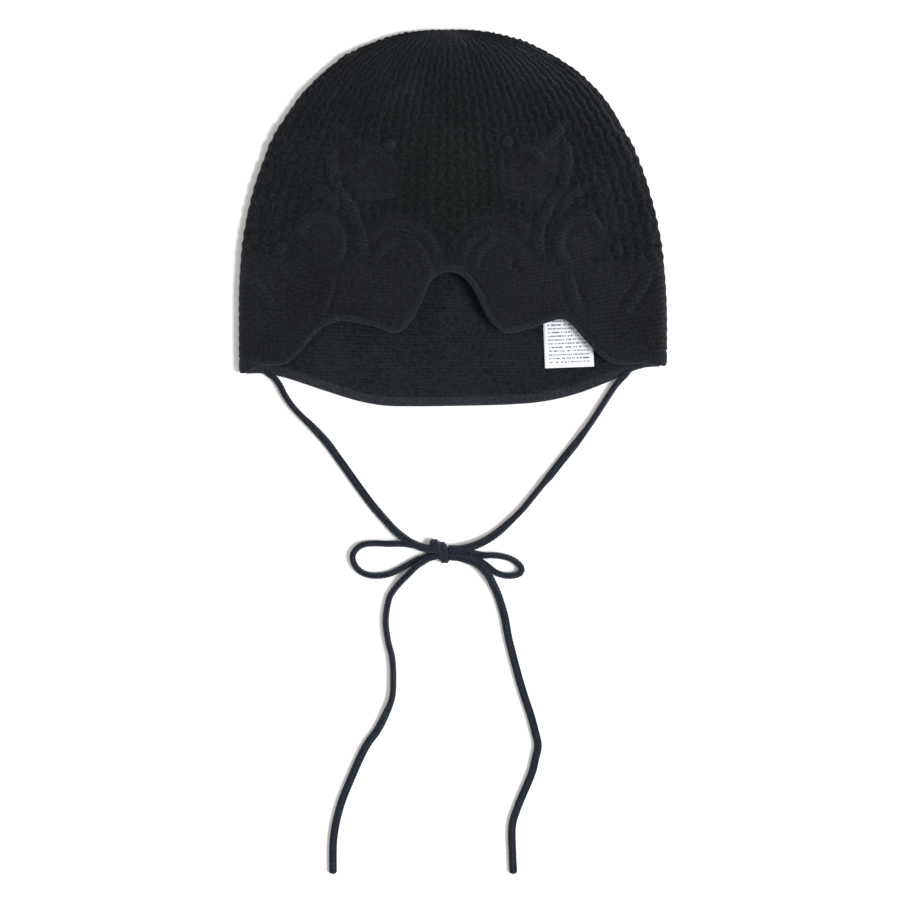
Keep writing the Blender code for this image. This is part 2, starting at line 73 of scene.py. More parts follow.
# Cloth: thickness, gap between its two layers at the sides, rise of the front layer.
KNIT_WALL = 0.0026
SIDE_GAP = 0.0042
DOME_RISE = 0.0100
FOLD_RADIUS = KNIT_WALL + SIDE_GAP / 2

# Opening, as in the solids: how far the front is cut up and the back hangs down.
SCALLOP_RISE = 0.053
HEM_DROP = 0.0198
CORNER_LIFT = 0.0038

# Edgings: width in the open and where both meet at a corner, and how they sit on the cloth.
FRONT_EDGE_WIDTH = 0.0037
BACK_EDGE_WIDTH = 0.0055
CORNER_WIDTH = 0.0094
CORNER_RUN = 0.014
EDGE_BULGE = 0.0005
SEAT_GAP = 0.0003
EDGE_LAP = 0.0010
RIM_THIN = 0.25
CORNER_LEVEL = HEM_LOW[1] + BACK_EDGE_WIDTH / 2 + HEM_DROP

# The rim near its corners: where it starts to lift on the right, as a share of the half width, and
# how far in the front's edging still blends into the back's, as a share of the width.
LIFT_START_SHARE = 0.6
EDGE_BLEND_SHARE = 0.1

# Outline of the crown, which leans to the left and is fuller at the right shoulder.
SHOULDER_SHARE = 0.14
CROWN_POWER = 2.2
SIDE_POWER = 2.3
CROWN_LEAN = 0.0022
RIGHT_FULLNESS = 0.0050
FULLNESS_LEVEL = 0.077
FULLNESS_REACH = 0.022
SHOULDER = CORNER_LEVEL + SHOULDER_SHARE * (CROWN_TOP - CORNER_LEVEL)

# The front layer's dome: share of its rise at the rim, where that is, and how soon it is full.
RIM_DOME_SHARE = 0.36
RIM_LEVEL_SHARE = 0.6
DOME_RUN_SHARE = 0.6

# Middle line of the front edging. across: share of the half width, rise: share of the scallop.
FRONT_EDGE_SHARES = (
    (-1.000, 0.005), (-0.900, 0.042), (-0.776, 0.062), (-0.640, 0.374), (-0.572, 0.470),
    (-0.500, 0.493), (-0.371, 0.436), (-0.271, 0.374), (-0.210, 0.467), (-0.159, 0.675),
    (-0.117, 0.883), (-0.063, 0.980), (-0.009, 1.000), (0.056, 0.940), (0.112, 0.789),
    (0.164, 0.550), (0.220, 0.405), (0.271, 0.368), (0.353, 0.415), (0.500, 0.509),
    (0.562, 0.447), (0.616, 0.312), (0.687, 0.135), (0.757, 0.025), (0.850, 0.005),
    (1.000, 0.011),
)

# Middle line of the back edging. across: share of the half width, drop: share of the hem's drop.
BACK_EDGE_SHARES = (
    (-1.000, -0.015), (-0.940, 0.045), (-0.880, 0.100), (-0.780, 0.205), (-0.620, 0.515),
    (-0.453, 0.830), (-0.322, 0.978), (-0.190, 1.000), (0.000, 0.990), (0.262, 0.950),
    (0.425, 0.861), (0.570, 0.660), (0.706, 0.390), (0.776, 0.245), (0.855, 0.120),
    (0.930, 0.045), (1.000, -0.030),
)

# Raised pattern, one half of it. across: share of the half width from the pattern's middle,
# up: share of the height of the body.
PATTERN_SHIFT = -0.0022
RIDGE_WIDTH = 0.0062
RIDGE_HEIGHT = 0.0014
RIDGE_SHARES = {
    "long_cable": ((0.551, 0.652), (0.549, 0.601), (0.526, 0.533), (0.470, 0.480), (0.433, 0.430),
                   (0.411, 0.370), (0.423, 0.344)),
    "upper_vein": ((0.530, 0.711), (0.474, 0.675), (0.419, 0.646)),
    "outer_vein": ((0.619, 0.524), (0.563, 0.507), (0.516, 0.465)),
    "curl": ((0.428, 0.601), (0.400, 0.628), (0.353, 0.637), (0.312, 0.625)),
    "branch": ((0.428, 0.507), (0.353, 0.509), (0.251, 0.515)),
    "leaf_arch": ((0.351, 0.397), (0.330, 0.412), (0.270, 0.418), (0.163, 0.400), (0.098, 0.370),
                  (0.056, 0.320)),
    "leaf_edge": ((0.353, 0.320), (0.298, 0.361), (0.219, 0.379), (0.140, 0.343), (0.107, 0.293)),
    "petal": ((0.702, 0.395), (0.660, 0.437), (0.590, 0.440), (0.530, 0.412), (0.507, 0.350),
              (0.553, 0.299)),
    "side_vein": ((0.930, 0.275), (0.884, 0.225), (0.819, 0.166)),
    "lower_vein": ((0.551, 0.270), (0.572, 0.216), (0.600, 0.166)),
}

# A ridge's cross section and ends, and how its two strands turn round each other.
RIDGE_ROUNDNESS = 0.75
RIDGE_END = 0.35
CABLE_TURN = 0.0044
STRAND_SHARE = 0.06
STRAND_SLANT = 0.3

# Grooves beside the ridges and the bobbles: middle and spread, in half widths of what they border.
GROOVE_DEPTH = 0.00045
RIDGE_GROOVE = (1.45, 0.42)
BOBBLE_GROOVE = (1.35, 0.35)

# Bobbles and the deep eyelets beside them. across and up as above.
BOBBLE_DIAMETER = 0.0064
BOBBLE_HEIGHT = 0.0023
BOBBLE_ROUNDNESS = 0.55
BOBBLE_SHARES = ((-0.279, 0.655), (0.270, 0.664), (-0.786, 0.350), (0.784, 0.344))
EYELET_DIAMETER = 0.0042
EYELET_DEPTH = 0.0013
EYELET_STRETCH = 1.3
EYELET_SHARES = (
    (-0.251, 0.616), (0.744, 0.342), (-0.434, 0.345), (0.414, 0.470), (0.300, 0.300),
    (0.330, 0.283), (-0.530, 0.555), (0.262, 0.600), (-0.770, 0.318),
)

# Fields of fine stitches inside the open mesh, one half of them: across, up, radius. Below a level
# the whole front is fine, and at the top of the crown the mesh fades out.
FINE_FIELDS = (
    (0.235, 0.325, 0.024), (0.600, 0.375, 0.015), (0.360, 0.575, 0.015), (0.470, 0.620, 0.011),
)
FINE_LEVEL_SHARE = 0.315
FINE_FADE = 0.007
POLE_FADE = 0.020

# Knitting: wales in half the width, fewer of them above the decrease, one course of the open mesh,
# and the fine stitches in each wale and course. At the top of the crown the courses are rings.
WALES_ACROSS = 19
WALES_AT_TOP = 12
DECREASE_LEVELS = (0.084, 0.095)
STITCH_WALES = 3.0
STITCH_COURSES = 2.0
COURSE_PITCH = 0.0037
COURSE_LEVELLING = 1.5
STITCH_ROUNDNESS = 0.7
STITCH_LEAN = 1.1
STITCH_STRAND = 0.6
PURL_ARC = 0.2

# The open mesh: its relief, the shares of its beads and pinholes, and how unevenly it is knitted.
MESH_HEIGHT = 0.00072
MESH_SINK = 0.4
MESH_CLEARANCE = 0.5
PINHOLE_DEPTH = 0.0009
ZIGZAG = 0.12
CREST_BEAD = 0.35
HOLE_SPOT = 0.65
HOLE_NARROWNESS = 2.5
MESH_UNEVEN = 0.0011
MESH_PATCHES = 190.0
CREST_UNEVEN = 1.5
CREST_PATCHES = 210.0
HOLE_UNEVEN = 3.6
HOLE_LEAST = 0.8
HOLE_PATCHES = 150.0
SEED = 7.0

# Beads of the courses along the side folds, and their least share where the stitches are fine.
FOLD_BEAD = 0.00045
BEAD_LEAST = 0.4
BEAD_REACH = 2 * FOLD_RADIUS

# How unevenly the cloth lies: its patches as pace and start along X and Y, and its waves as share,
# pace along X, pace along Y and start. Paces are in radians a metre.
LIE_UNEVEN = 0.0007
LIE_PATCHES = ((71.0, 1.3), (58.0, 0.4))
LIE_WAVES = ((0.6, 123.0, -97.0, 0.0), (0.5, 141.0, 160.0, 2.0))
LIE_FADE = 4 * FOLD_RADIUS

# Ribs of the edgings.
RIB_PITCH = 0.00118
RIB_HEIGHT = 0.00032
RIB_ROUNDNESS = 0.7

# Cords: mean diameter, broad and flat side, and their stitches, which sink a little into the cord.
CORD_DIAMETER = 0.0037
CORD_BREADTH = 0.0043
CORD_HEIGHT = 0.0031
CORD_WALES = 6
CORD_COURSE = 0.0019
CORD_STITCH_HEIGHT = 0.00045
CORD_STITCH_SLANT = 0.22
CORD_STITCH_SHARE = 0.5
STITCH_SINK = 0.3

# Label: its size, how it is turned and placed, and the slight waves it lies in.
LABEL_WIDTH = 0.027
LABEL_LENGTH = 0.045
LABEL_THICKNESS = 0.0004
LABEL_TURN = math.radians(2.2)
LABEL_MIDDLE_ACROSS = 0.537
LABEL_FOOT_DROP = 0.001
LABEL_WAVE = 0.0003
LABEL_WAVES_ACROSS = 0.7
LABEL_WAVES_ALONG = 1.15
LABEL_WAVE_START = 0.8

# Print of the label: rows of dashes, in shares of a row, of the label's width and of its length.
LABEL_ROWS = 22
ROW_HALF = 0.22
ROW_SHIFT = 7.3
DASHES_ACROSS = 62.0
DASH_LEVEL = 0.48
PRINT_ACROSS = (0.50, 0.42)
PRINT_ALONG = (0.47, 0.43)
PRINT_SHARE = 0.92
SATIN_THREAD = 0.0004
SATIN_BUMP = 0.00004

# Cords. The routes' points are in metres: right, up and above the floor.
ON_FLOOR = 0.0017
TOP_LAYER = 0.0052
ROUTES = {
    "tie_left": (
        (-0.1066, -0.0824, ON_FLOOR), (-0.1030, -0.0845, ON_FLOOR), (-0.0982, -0.0883, ON_FLOOR),
        (-0.0950, -0.0927, ON_FLOOR), (-0.0928, -0.0971, ON_FLOOR), (-0.0900, -0.1015, ON_FLOOR),
        (-0.0865, -0.1059, ON_FLOOR), (-0.0822, -0.1103, ON_FLOOR), (-0.0776, -0.1147, ON_FLOOR),
        (-0.0696, -0.1235, ON_FLOOR), (-0.0631, -0.1323, ON_FLOOR), (-0.0568, -0.1411, ON_FLOOR),
        (-0.0505, -0.1499, ON_FLOOR), (-0.0439, -0.1587, ON_FLOOR), (-0.0362, -0.1675, ON_FLOOR),
        (-0.0321, -0.1719, 0.0024), (-0.0272, -0.1759, 0.0039), (-0.0232, -0.1786, 0.0050),
        (-0.0176, -0.1812, TOP_LAYER), (-0.0128, -0.1821, TOP_LAYER), (-0.0094, -0.1824, 0.0048),
    ),
    "tie_right": (
        (0.1000, -0.0812, ON_FLOOR), (0.0963, -0.0845, ON_FLOOR), (0.0925, -0.0888, ON_FLOOR),
        (0.0891, -0.0927, ON_FLOOR), (0.0861, -0.0971, ON_FLOOR), (0.0804, -0.1059, ON_FLOOR),
        (0.0746, -0.1147, ON_FLOOR), (0.0681, -0.1235, ON_FLOOR), (0.0609, -0.1323, ON_FLOOR),
        (0.0540, -0.1411, ON_FLOOR), (0.0468, -0.1499, ON_FLOOR), (0.0397, -0.1587, ON_FLOOR),
        (0.0357, -0.1631, ON_FLOOR), (0.0311, -0.1675, ON_FLOOR), (0.0262, -0.1719, 0.0021),
        (0.0202, -0.1763, 0.0030), (0.0136, -0.1797, 0.0043), (0.0072, -0.1818, 0.0051),
        (0.0016, -0.1826, TOP_LAYER), (-0.0022, -0.1826, TOP_LAYER),
    ),
    "loop_left": (
        (-0.0098, -0.1828, ON_FLOOR), (-0.0165, -0.1816, ON_FLOOR), (-0.0226, -0.1801, ON_FLOOR),
        (-0.0290, -0.1794, ON_FLOOR), (-0.0354, -0.1795, ON_FLOOR), (-0.0426, -0.1792, ON_FLOOR),
        (-0.0486, -0.1797, ON_FLOOR), (-0.0525, -0.1817, ON_FLOOR), (-0.0549, -0.1850, ON_FLOOR),
        (-0.0550, -0.1884, ON_FLOOR), (-0.0534, -0.1920, ON_FLOOR), (-0.0503, -0.1950, ON_FLOOR),
        (-0.0459, -0.1967, ON_FLOOR), (-0.0410, -0.1970, ON_FLOOR), (-0.0354, -0.1961, ON_FLOOR),
        (-0.0301, -0.1939, ON_FLOOR), (-0.0246, -0.1909, ON_FLOOR), (-0.0194, -0.1882, ON_FLOOR),
        (-0.0156, -0.1870, ON_FLOOR), (-0.0129, -0.1862, ON_FLOOR),
    ),
    "loop_right": (
        (-0.0023, -0.1824, ON_FLOOR), (0.0028, -0.1826, ON_FLOOR), (0.0074, -0.1837, ON_FLOOR),
        (0.0116, -0.1851, ON_FLOOR), (0.0164, -0.1858, ON_FLOOR), (0.0220, -0.1858, ON_FLOOR),
        (0.0274, -0.1864, ON_FLOOR), (0.0322, -0.1879, ON_FLOOR), (0.0358, -0.1903, ON_FLOOR),
        (0.0377, -0.1932, ON_FLOOR), (0.0365, -0.1958, ON_FLOOR), (0.0325, -0.1970, ON_FLOOR),
        (0.0277, -0.1967, ON_FLOOR), (0.0235, -0.1951, ON_FLOOR), (0.0199, -0.1924, ON_FLOOR),
        (0.0164, -0.1899, ON_FLOOR), (0.0124, -0.1880, ON_FLOOR), (0.0079, -0.1870, ON_FLOOR),
        (0.0030, -0.1864, ON_FLOOR), (-0.0021, -0.1861, ON_FLOOR),
    ),
    "end_left": (
        (-0.0131, -0.1873, TOP_LAYER), (-0.0162, -0.1892, TOP_LAYER), (-0.0202, -0.1919, 0.0051),
        (-0.0241, -0.1957, 0.0043), (-0.0289, -0.2006, 0.0025), (-0.0330, -0.2056, ON_FLOOR),
        (-0.0354, -0.2106, ON_FLOOR), (-0.0370, -0.2214, ON_FLOOR), (-0.0358, -0.2324, ON_FLOOR),
        (-0.0334, -0.2424, ON_FLOOR), (-0.0328, -0.2540, ON_FLOOR), (-0.0335, -0.2643, ON_FLOOR),
        (-0.0372, -0.2736, ON_FLOOR), (-0.0419, -0.2824, ON_FLOOR), (-0.0464, -0.2884, ON_FLOOR),
        (-0.0505, -0.2958, ON_FLOOR), (-0.0545, -0.3048, ON_FLOOR), (-0.0618, -0.3231, ON_FLOOR),
        (-0.0656, -0.3410, ON_FLOOR), (-0.0660, -0.3610, ON_FLOOR),
    ),
    "end_right": (
        (-0.0021, -0.1863, TOP_LAYER), (0.0036, -0.1869, TOP_LAYER), (0.0096, -0.1888, TOP_LAYER),
        (0.0146, -0.1914, TOP_LAYER), (0.0192, -0.1964, 0.0045), (0.0224, -0.2024, 0.0025),
        (0.0251, -0.2087, ON_FLOOR), (0.0283, -0.2194, ON_FLOOR), (0.0307, -0.2320, ON_FLOOR),
        (0.0356, -0.2509, ON_FLOOR), (0.0388, -0.2618, ON_FLOOR), (0.0427, -0.2736, ON_FLOOR),
        (0.0454, -0.2836, ON_FLOOR), (0.0467, -0.2905, ON_FLOOR), (0.0452, -0.2980, ON_FLOOR),
        (0.0430, -0.3064, ON_FLOOR), (0.0356, -0.3241, ON_FLOOR), (0.0325, -0.3350, ON_FLOOR),
        (0.0327, -0.3500, ON_FLOOR), (0.0332, -0.3610, ON_FLOOR),
    ),
}

# Ties start sewn thin under the hem, over a short run. The free ends are cut and rounded.
TIES = ("tie_left", "tie_right")
FREE_ENDS = ("end_left", "end_right")
SEWN_SHARE = 0.55
SEWN_RUN = 0.009

# Twist of each cord: share of its length, and turn of its broad side (0 flat, 0.25 on edge).
TWISTS = {
    "tie_left": ((0.00, 0.00), (0.08, 0.22), (0.24, 0.20), (0.36, 0.10), (0.46, 0.02),
                 (0.64, 0.01), (0.76, 0.12), (0.90, 0.11), (1.00, 0.04)),
    "tie_right": ((0.00, 0.00), (0.09, 0.22), (0.24, 0.24), (0.36, 0.12), (0.44, 0.02),
                  (0.49, 0.02), (0.58, 0.24), (0.68, 0.22), (0.80, 0.10), (1.00, 0.04)),
    "loop_left": ((0.00, 0.22), (0.50, 0.20), (0.70, 0.24), (1.00, 0.22)),
    "loop_right": ((0.00, 0.04), (0.16, 0.08), (0.28, 0.22), (0.60, 0.22), (1.00, 0.10)),
    "end_left": ((0.00, 0.22), (0.14, 0.26), (0.46, 0.20), (0.56, 0.04), (1.00, 0.00)),
    "end_right": ((0.00, 0.06), (0.20, 0.08), (0.34, 0.00), (1.00, 0.01)),
}

# The knot's two wraps: middle, half reach along Y and Z of the cord's middle line, and lean. Then
# the short strands that join ties, loops and free ends inside them.
WRAPS = (
    {"middle": (-0.0091, -0.1812, 0.0044), "reach": (0.0028, 0.0026), "lean": -0.45},
    {"middle": (-0.0055, -0.1842, 0.0043), "reach": (0.0043, 0.0025), "lean": -0.20},
)
WRAP_CORD_WIDTH = 0.0052
WRAP_POINTS = 49
KNOT_STRANDS = (
    ((-0.0142, -0.1858, 0.0022), (-0.0110, -0.1853, 0.0026), (-0.0070, -0.1848, 0.0030)),
    ((-0.0142, -0.1879, 0.0050), (-0.0108, -0.1868, 0.0050), (-0.0066, -0.1858, 0.0046)),
    ((-0.0036, -0.1830, 0.0046), (-0.0016, -0.1829, 0.0046), (0.0010, -0.1828, 0.0046)),
    ((-0.0036, -0.1864, 0.0040), (-0.0016, -0.1866, 0.0042), (0.0010, -0.1868, 0.0044)),
)

# Photograph's frame: its width at the floor, its middle, and the camera above it.
VIEW_WIDTH = 0.495
VIEW_MIDDLE = (-0.00165, -0.12788)
CAMERA_HEIGHT = 4.0
SENSOR_WIDTH = 36.0

# Floor, just under the cap.
FLOOR_SIZE = 4.0
FLOOR_DROP = 0.0001

# Light: an open white room and one large lamp from the right.
ROOM_STRENGTH = 0.75
SUN_STRENGTH = 3.2
SUN_SPREAD = math.radians(20)
SUN_FROM = (1.0, -0.30, 1.6)
ROOM_COLOUR = (1.0, 0.975, 0.93, 1.0)
SUN_COLOUR = (0.95, 0.975, 1.0)

# Colours. The light colour of the open mesh is darker and greener towards the cap's middle:
# painted shade, as the cap's edges catch more light.
BLACK_DARK = (0.0024, 0.0030, 0.0034)
BLACK_LIGHT = (0.0112, 0.0134, 0.0158)
BLACK_MIDDLE_PAINTED_SHADE = (0.0078, 0.0124, 0.0116)
FRONT_BAND = ((0.0082, 0.0102, 0.0128), (0.0175, 0.0212, 0.0265))
# Painted light: the back's band is the same yarn as the front's, coloured lighter.
BACK_BAND_PAINTED_LIGHT = ((0.0158, 0.0184, 0.0228), (0.0316, 0.0362, 0.0445))
CORD_DARK = (0.0090, 0.0120, 0.0185)
CORD_LIGHT = (0.0215, 0.0280, 0.0420)
# Painted shade: the black that pinholes, gaps between stitches, grooves and rib valleys are blended
# towards.
PAINTED_SHADE_BLACK = (0.0020, 0.0021, 0.0024)
SATIN_WHITE = (0.76, 0.79, 0.84)
PRINT_GREY = (0.06, 0.06, 0.075)
FLOOR_WHITE = (0.95, 0.95, 0.95)
FLOOR_PALE = (0.92, 0.92, 0.92)
KNIT_SHEEN = (0.80, 0.84, 1.0, 1.0)
RIB_SHEEN = (0.80, 0.86, 1.0, 1.0)
CORD_SHEEN = (0.80, 0.87, 1.0, 1.0)

# Yarn: its gloss, the scales of its clouds, grain and fibres, and how deep these show.
YARN_GLOSS = 0.08
YARN_BUMP = 0.00018
CLOUD_SCALE = 38.0
CLOUD_CONTRAST = 1.0
GRAIN_SCALE = 620.0
GRAIN_CONTRAST = 3.0
FIBRE_SCALE = 2600.0
CORD_FIBRE_SCALE = 2400.0
FIBRE_DETAIL = 3.0
FLOOR_GRAIN_SCALE = 700.0

# Stitches of the knit, as shares: how deep they show in the open mesh, on the ridges and inside,
# how dark the painted shade in pinholes, gaps and grooves is, and how much lighter the yarn is
# painted: painted light on stitch crests and the inner side, lighter in the fine fields, a little
# darker on the ridges.
STITCH_IN_MESH = 0.35
STITCH_ON_RIDGE = 0.5
STITCH_INSIDE = 0.45
STITCH_BUMP = 0.0008
FIBRE_SHARE = 0.25
PINHOLE_SHADE = 0.5
STITCH_SHADE = 0.6
GROOVE_SHADE = 0.8
LIGHT_LEAST = 0.14
LIGHT_STITCH = 0.4
LIGHT_RIDGE = 0.06
LIGHT_FINE = 0.22
LIGHT_INSIDE = 0.12

# Crests of the ribs and of the cords' stitches, as shares beside their fibres, and how dark the
# painted shade between them is.
RIB_CREST_SHARE = 0.2
RIB_SHADE = 1.05
CORD_CREST_SHARE = 0.3
CORD_SHADE = 0.6
HALF_LIGHT = 0.5

# Mesh fineness.
CURVE_PARTS = 12
RIDGE_PARTS = 5
FOLD_STEPS = 6
EDGE_FOLD_STEPS = 24
FRONT_STEPS = 330
FRONT_ROWS = 268
BACK_STEPS = 200
BACK_ROWS = 150
INSIDE_ROWS = 100
HIDDEN_ROWS = 14
EVEN_ROWS_SHARE = 0.8
EDGE_STEP = 0.00024
EDGE_SIDES = 16
EDGE_ROUNDNESS = 0.8
CORD_STEP = 0.00042
CORD_SIDES = 24
FEWEST_RINGS = 8
TIP_SHARE = 0.02
LABEL_STEPS = (18, 30)


def smooth_step(value):
    value = np.clip(value, 0.0, 1.0)
    return value * value * (3.0 - 2.0 * value)


def mix(first, second, share):
    return first + (second - first) * share


def smooth_curve(points, parts=CURVE_PARTS):
    """Points on the Catmull-Rom curve through the given points."""
    knots = np.array(points, float)
    knots = np.vstack((2 * knots[0] - knots[1], knots, 2 * knots[-1] - knots[-2]))
    a, b, c, d = (knots[start:start + len(knots) - 3, None] for start in range(4))
    t = (np.arange(parts) / parts)[None, :, None]
    bend = (2 * a - 5 * b + 4 * c - d) * t ** 2 + (3 * b - a - 3 * c + d) * t ** 3
    curve = b + ((c - a) * t + bend) / 2
    return np.vstack((curve.reshape(-1, knots.shape[1]), knots[-2]))


def reach_along(curve):
    """Length of the curve up to each of its points."""
    runs = np.linalg.norm(np.diff(curve, axis=0), axis=1)
    return np.concatenate(([0.0], np.cumsum(runs)))


def spaced(curve, count):
    """The curve's points and directions at count + 1 even steps along it."""
    reach = reach_along(curve)
    goals = np.linspace(0.0, reach[-1], count + 1)
    places = np.column_stack([np.interp(goals, reach, column) for column in curve.T])
    ways = np.gradient(places, axis=0)
    return places, ways / np.linalg.norm(ways, axis=1)[:, None]


def crown_room(y, inset):
    """How open the arch of the crown still is at this height: 1 below the shoulder, 0 at the top."""
    climb = np.clip((y - SHOULDER) / (CROWN_TOP - inset - SHOULDER), 0.0, 1.0)
    return 1.0 - climb ** CROWN_POWER


def half_width_at(y, inset):
    return (HALF_WIDTH - inset) * crown_room(y, inset) ** (1 / SIDE_POWER)


def middle_at(y):
    return -CROWN_LEAN * np.maximum(0.0, (y - SHOULDER) / (CROWN_TOP - SHOULDER))


def dome_height(x, y):
    """How far the front layer stands up above the level of the side folds."""
    half = np.maximum(half_width_at(y, 0.0), SEAT_GAP)
    from_middle = np.abs((x - middle_at(y)) / half)
    inside = crown_room(y, 0.0) * np.maximum(0.0, 1.0 - from_middle ** SIDE_POWER)
    start = CORNER_LEVEL + RIM_LEVEL_SHARE * SCALLOP_RISE * (1.0 - (x / HALF_WIDTH) ** 2)
    up = (y - start) / (CROWN_TOP - CORNER_LEVEL)
    return DOME_RISE * inside * mix(RIM_DOME_SHARE, 1.0, smooth_step(up / DOME_RUN_SHARE))


def cloth_points(across, y, inset, side):
    """Points of the cloth, side 1 on the front layer and -1 on the back layer."""
    room = crown_room(y, inset)
    full = RIGHT_FULLNESS * np.exp(-((y - FULLNESS_LEVEL) / FULLNESS_REACH) ** 2)
    x = middle_at(y) + across * half_width_at(y, inset) + full * np.maximum(0.0, across) ** 2 * room
    radius = FOLD_RADIUS - inset
    inside = room * np.maximum(0.0, 1.0 - np.abs(across) ** SIDE_POWER)
    turn = np.minimum(1.0, inside * HALF_WIDTH / (SIDE_POWER * radius))
    rise = radius * np.sqrt(1.0 - (1.0 - turn) ** 2)
    if side < 0:
        z = FOLD_RADIUS - rise
    else:
        z = FOLD_RADIUS + rise + dome_height(x, y)
    return np.stack((x, y, z), axis=-1)


def edge_line(side):
    """The middle line of the front (1) or the back (-1) edging, left to right, seen from above."""
    if side > 0:
        shares, size = np.array(FRONT_EDGE_SHARES), SCALLOP_RISE
    else:
        shares, size = np.array(BACK_EDGE_SHARES), -HEM_DROP
    lift = CORNER_LIFT * smooth_step((shares[:, 0] - LIFT_START_SHARE) / (1.0 - LIFT_START_SHARE))
    return smooth_curve(np.column_stack((shares[:, 0] * HALF_WIDTH,
                                         CORNER_LEVEL + lift + size * shares[:, 1])))


class Rim:
    """The opening's edge as a row of stations, from the right side fold to the left one."""

    def __init__(self, side, steps, fold_steps=FOLD_STEPS):
        self.side = side
        line = edge_line(side)
        limit = HALF_WIDTH - FOLD_RADIUS
        inner = line[np.abs(line[:, 0]) < limit]
        inner = np.vstack(([-limit, inner[0, 1]], inner, [limit, inner[-1, 1]]))
        place, way = spaced(inner, steps)
        place, way = place[::-1], way[::-1]
        turn = np.arange(fold_steps) * math.pi / 2 / fold_steps
        reach = limit + FOLD_RADIUS * np.cos(turn)
        right = np.column_stack((reach, np.full(fold_steps, line[-1, 1])))
        left = np.column_stack((-reach[::-1], np.full(fold_steps, line[0, 1])))
        up = np.tile((0.0, 1.0), (fold_steps, 1))
        self.place = np.vstack((right, place, left))
        self.uphill = np.vstack((up, np.column_stack((-way[:, 1], way[:, 0])), up))
        self.turn = np.concatenate((turn, np.full(steps + 1, np.nan), turn[::-1]))
        self.share = np.concatenate((np.ones(fold_steps), np.linspace(1.0, -1.0, steps + 1),
                                     -np.ones(fold_steps)))
        blend = smooth_step((HALF_WIDTH - np.abs(self.place[:, 0])) / (2 * HALF_WIDTH * EDGE_BLEND_SHARE))
        self.frontness = blend if side > 0 else np.zeros(len(blend))
        open_width = mix(BACK_EDGE_WIDTH, FRONT_EDGE_WIDTH, self.frontness)
        away = smooth_step((HALF_WIDTH - np.abs(self.place[:, 0])) / CORNER_RUN)
        self.edge_width = mix(CORNER_WIDTH, open_width, away)

    def across(self, offset, inset):
        """Share of the half width, offset from the middle line towards the crown."""
        radius = FOLD_RADIUS - inset
        spot = self.place + self.uphill * np.reshape(offset, (-1, 1))
        flat = (spot[:, 0] - middle_at(spot[:, 1])) / half_width_at(spot[:, 1], inset)
        bent = 1.0 - radius * (1.0 - np.cos(self.turn)) / (HALF_WIDTH - inset)
        return np.where(np.isnan(self.turn), flat, np.copysign(bent, self.place[:, 0]))

    def points(self, offset, inset):
        y = (self.place + self.uphill * np.reshape(offset, (-1, 1)))[:, 1]
        return cloth_points(self.across(offset, inset), y, inset, self.side)

    def skin(self, inset, rows):
        """Shares across and points of one skin: a column for each station, a row for each level."""
        offset = self.edge_width / 2 - EDGE_LAP
        foot = (self.place + self.uphill * offset[:, None])[:, 1]
        low = self.across(offset, inset)
        flat = self.share * (1.0 - (FOLD_RADIUS - inset) / (HALF_WIDTH - inset))
        high = np.where(np.isnan(self.turn), flat, low)
        step = np.arange(rows) / rows
        slope = 1.0 / (EVEN_ROWS_SHARE + (1.0 - EVEN_ROWS_SHARE) / 2)
        rounded = 1.0 - (1.0 - step) ** 2 * slope / (2 * (1.0 - EVEN_ROWS_SHARE))
        climb = np.where(step < EVEN_ROWS_SHARE, step * slope, rounded)
        across = mix(low[:, None], high[:, None], smooth_step(2 * climb)[None, :])
        y = mix(foot[:, None], CROWN_TOP - inset, climb[None, :])
        depth = np.full(rows, inset)
        depth[0] = mix(KNIT_WALL / 2, inset, RIM_THIN)
        return across, cloth_points(across, y, depth[None, :], self.side)


def pattern_place(across, up):
    return np.array((PATTERN_SHIFT + across * HALF_WIDTH, mix(CORNER_LEVEL, CROWN_TOP, up)))


def near_line(points, line):
    """Distance of each point from the line, its side of it, and how far along it the foot lies."""
    start, way = line[:-1], np.diff(line, axis=0)
    runs = np.linalg.norm(way, axis=1)
    gap = points[:, None, :] - start[None, :, :]
    share = np.clip((gap * way).sum(-1) / runs ** 2, 0.0, 1.0)
    off = gap - share[..., None] * way
    distance = np.linalg.norm(off, axis=-1)
    best = distance.argmin(axis=1)
    rows = np.arange(len(points))
    turn = way[best, 0] * off[rows, best, 1] - way[best, 1] * off[rows, best, 0]
    along = reach_along(line)[best] + share[rows, best] * runs[best]
    return distance[rows, best], np.sign(turn), along


def groove_beside(off, place, spread):
    """Depth of the groove beside a crest. off, place and spread are in half widths of the crest."""
    return GROOVE_DEPTH * np.exp(-((off - place) / spread) ** 2)


def raise_ridge(crests, grooves, points, line):
    """Adds one twisted cable along the line, and the groove on each side of it."""
    near = np.flatnonzero(((points > line.min(0) - 2 * RIDGE_WIDTH)
                           & (points < line.max(0) + 2 * RIDGE_WIDTH)).all(axis=1))
    distance, hand, along = near_line(points[near], line)
    length = reach_along(line)[-1]
    off = distance / (RIDGE_WIDTH / 2)
    end = smooth_step(np.minimum(along, length - along) / RIDGE_WIDTH + RIDGE_END)
    turns = along / CABLE_TURN + STRAND_SLANT * hand * np.minimum(off, 1.0)
    strand = 1.0 - STRAND_SHARE + STRAND_SHARE * np.cos(2 * math.pi * turns)
    crest = RIDGE_HEIGHT * end * strand * np.maximum(0.0, 1.0 - off ** 2) ** RIDGE_ROUNDNESS
    crests[near] = np.maximum(crests[near], crest)
    grooves[near] = np.maximum(grooves[near], end * groove_beside(off, *RIDGE_GROOVE))


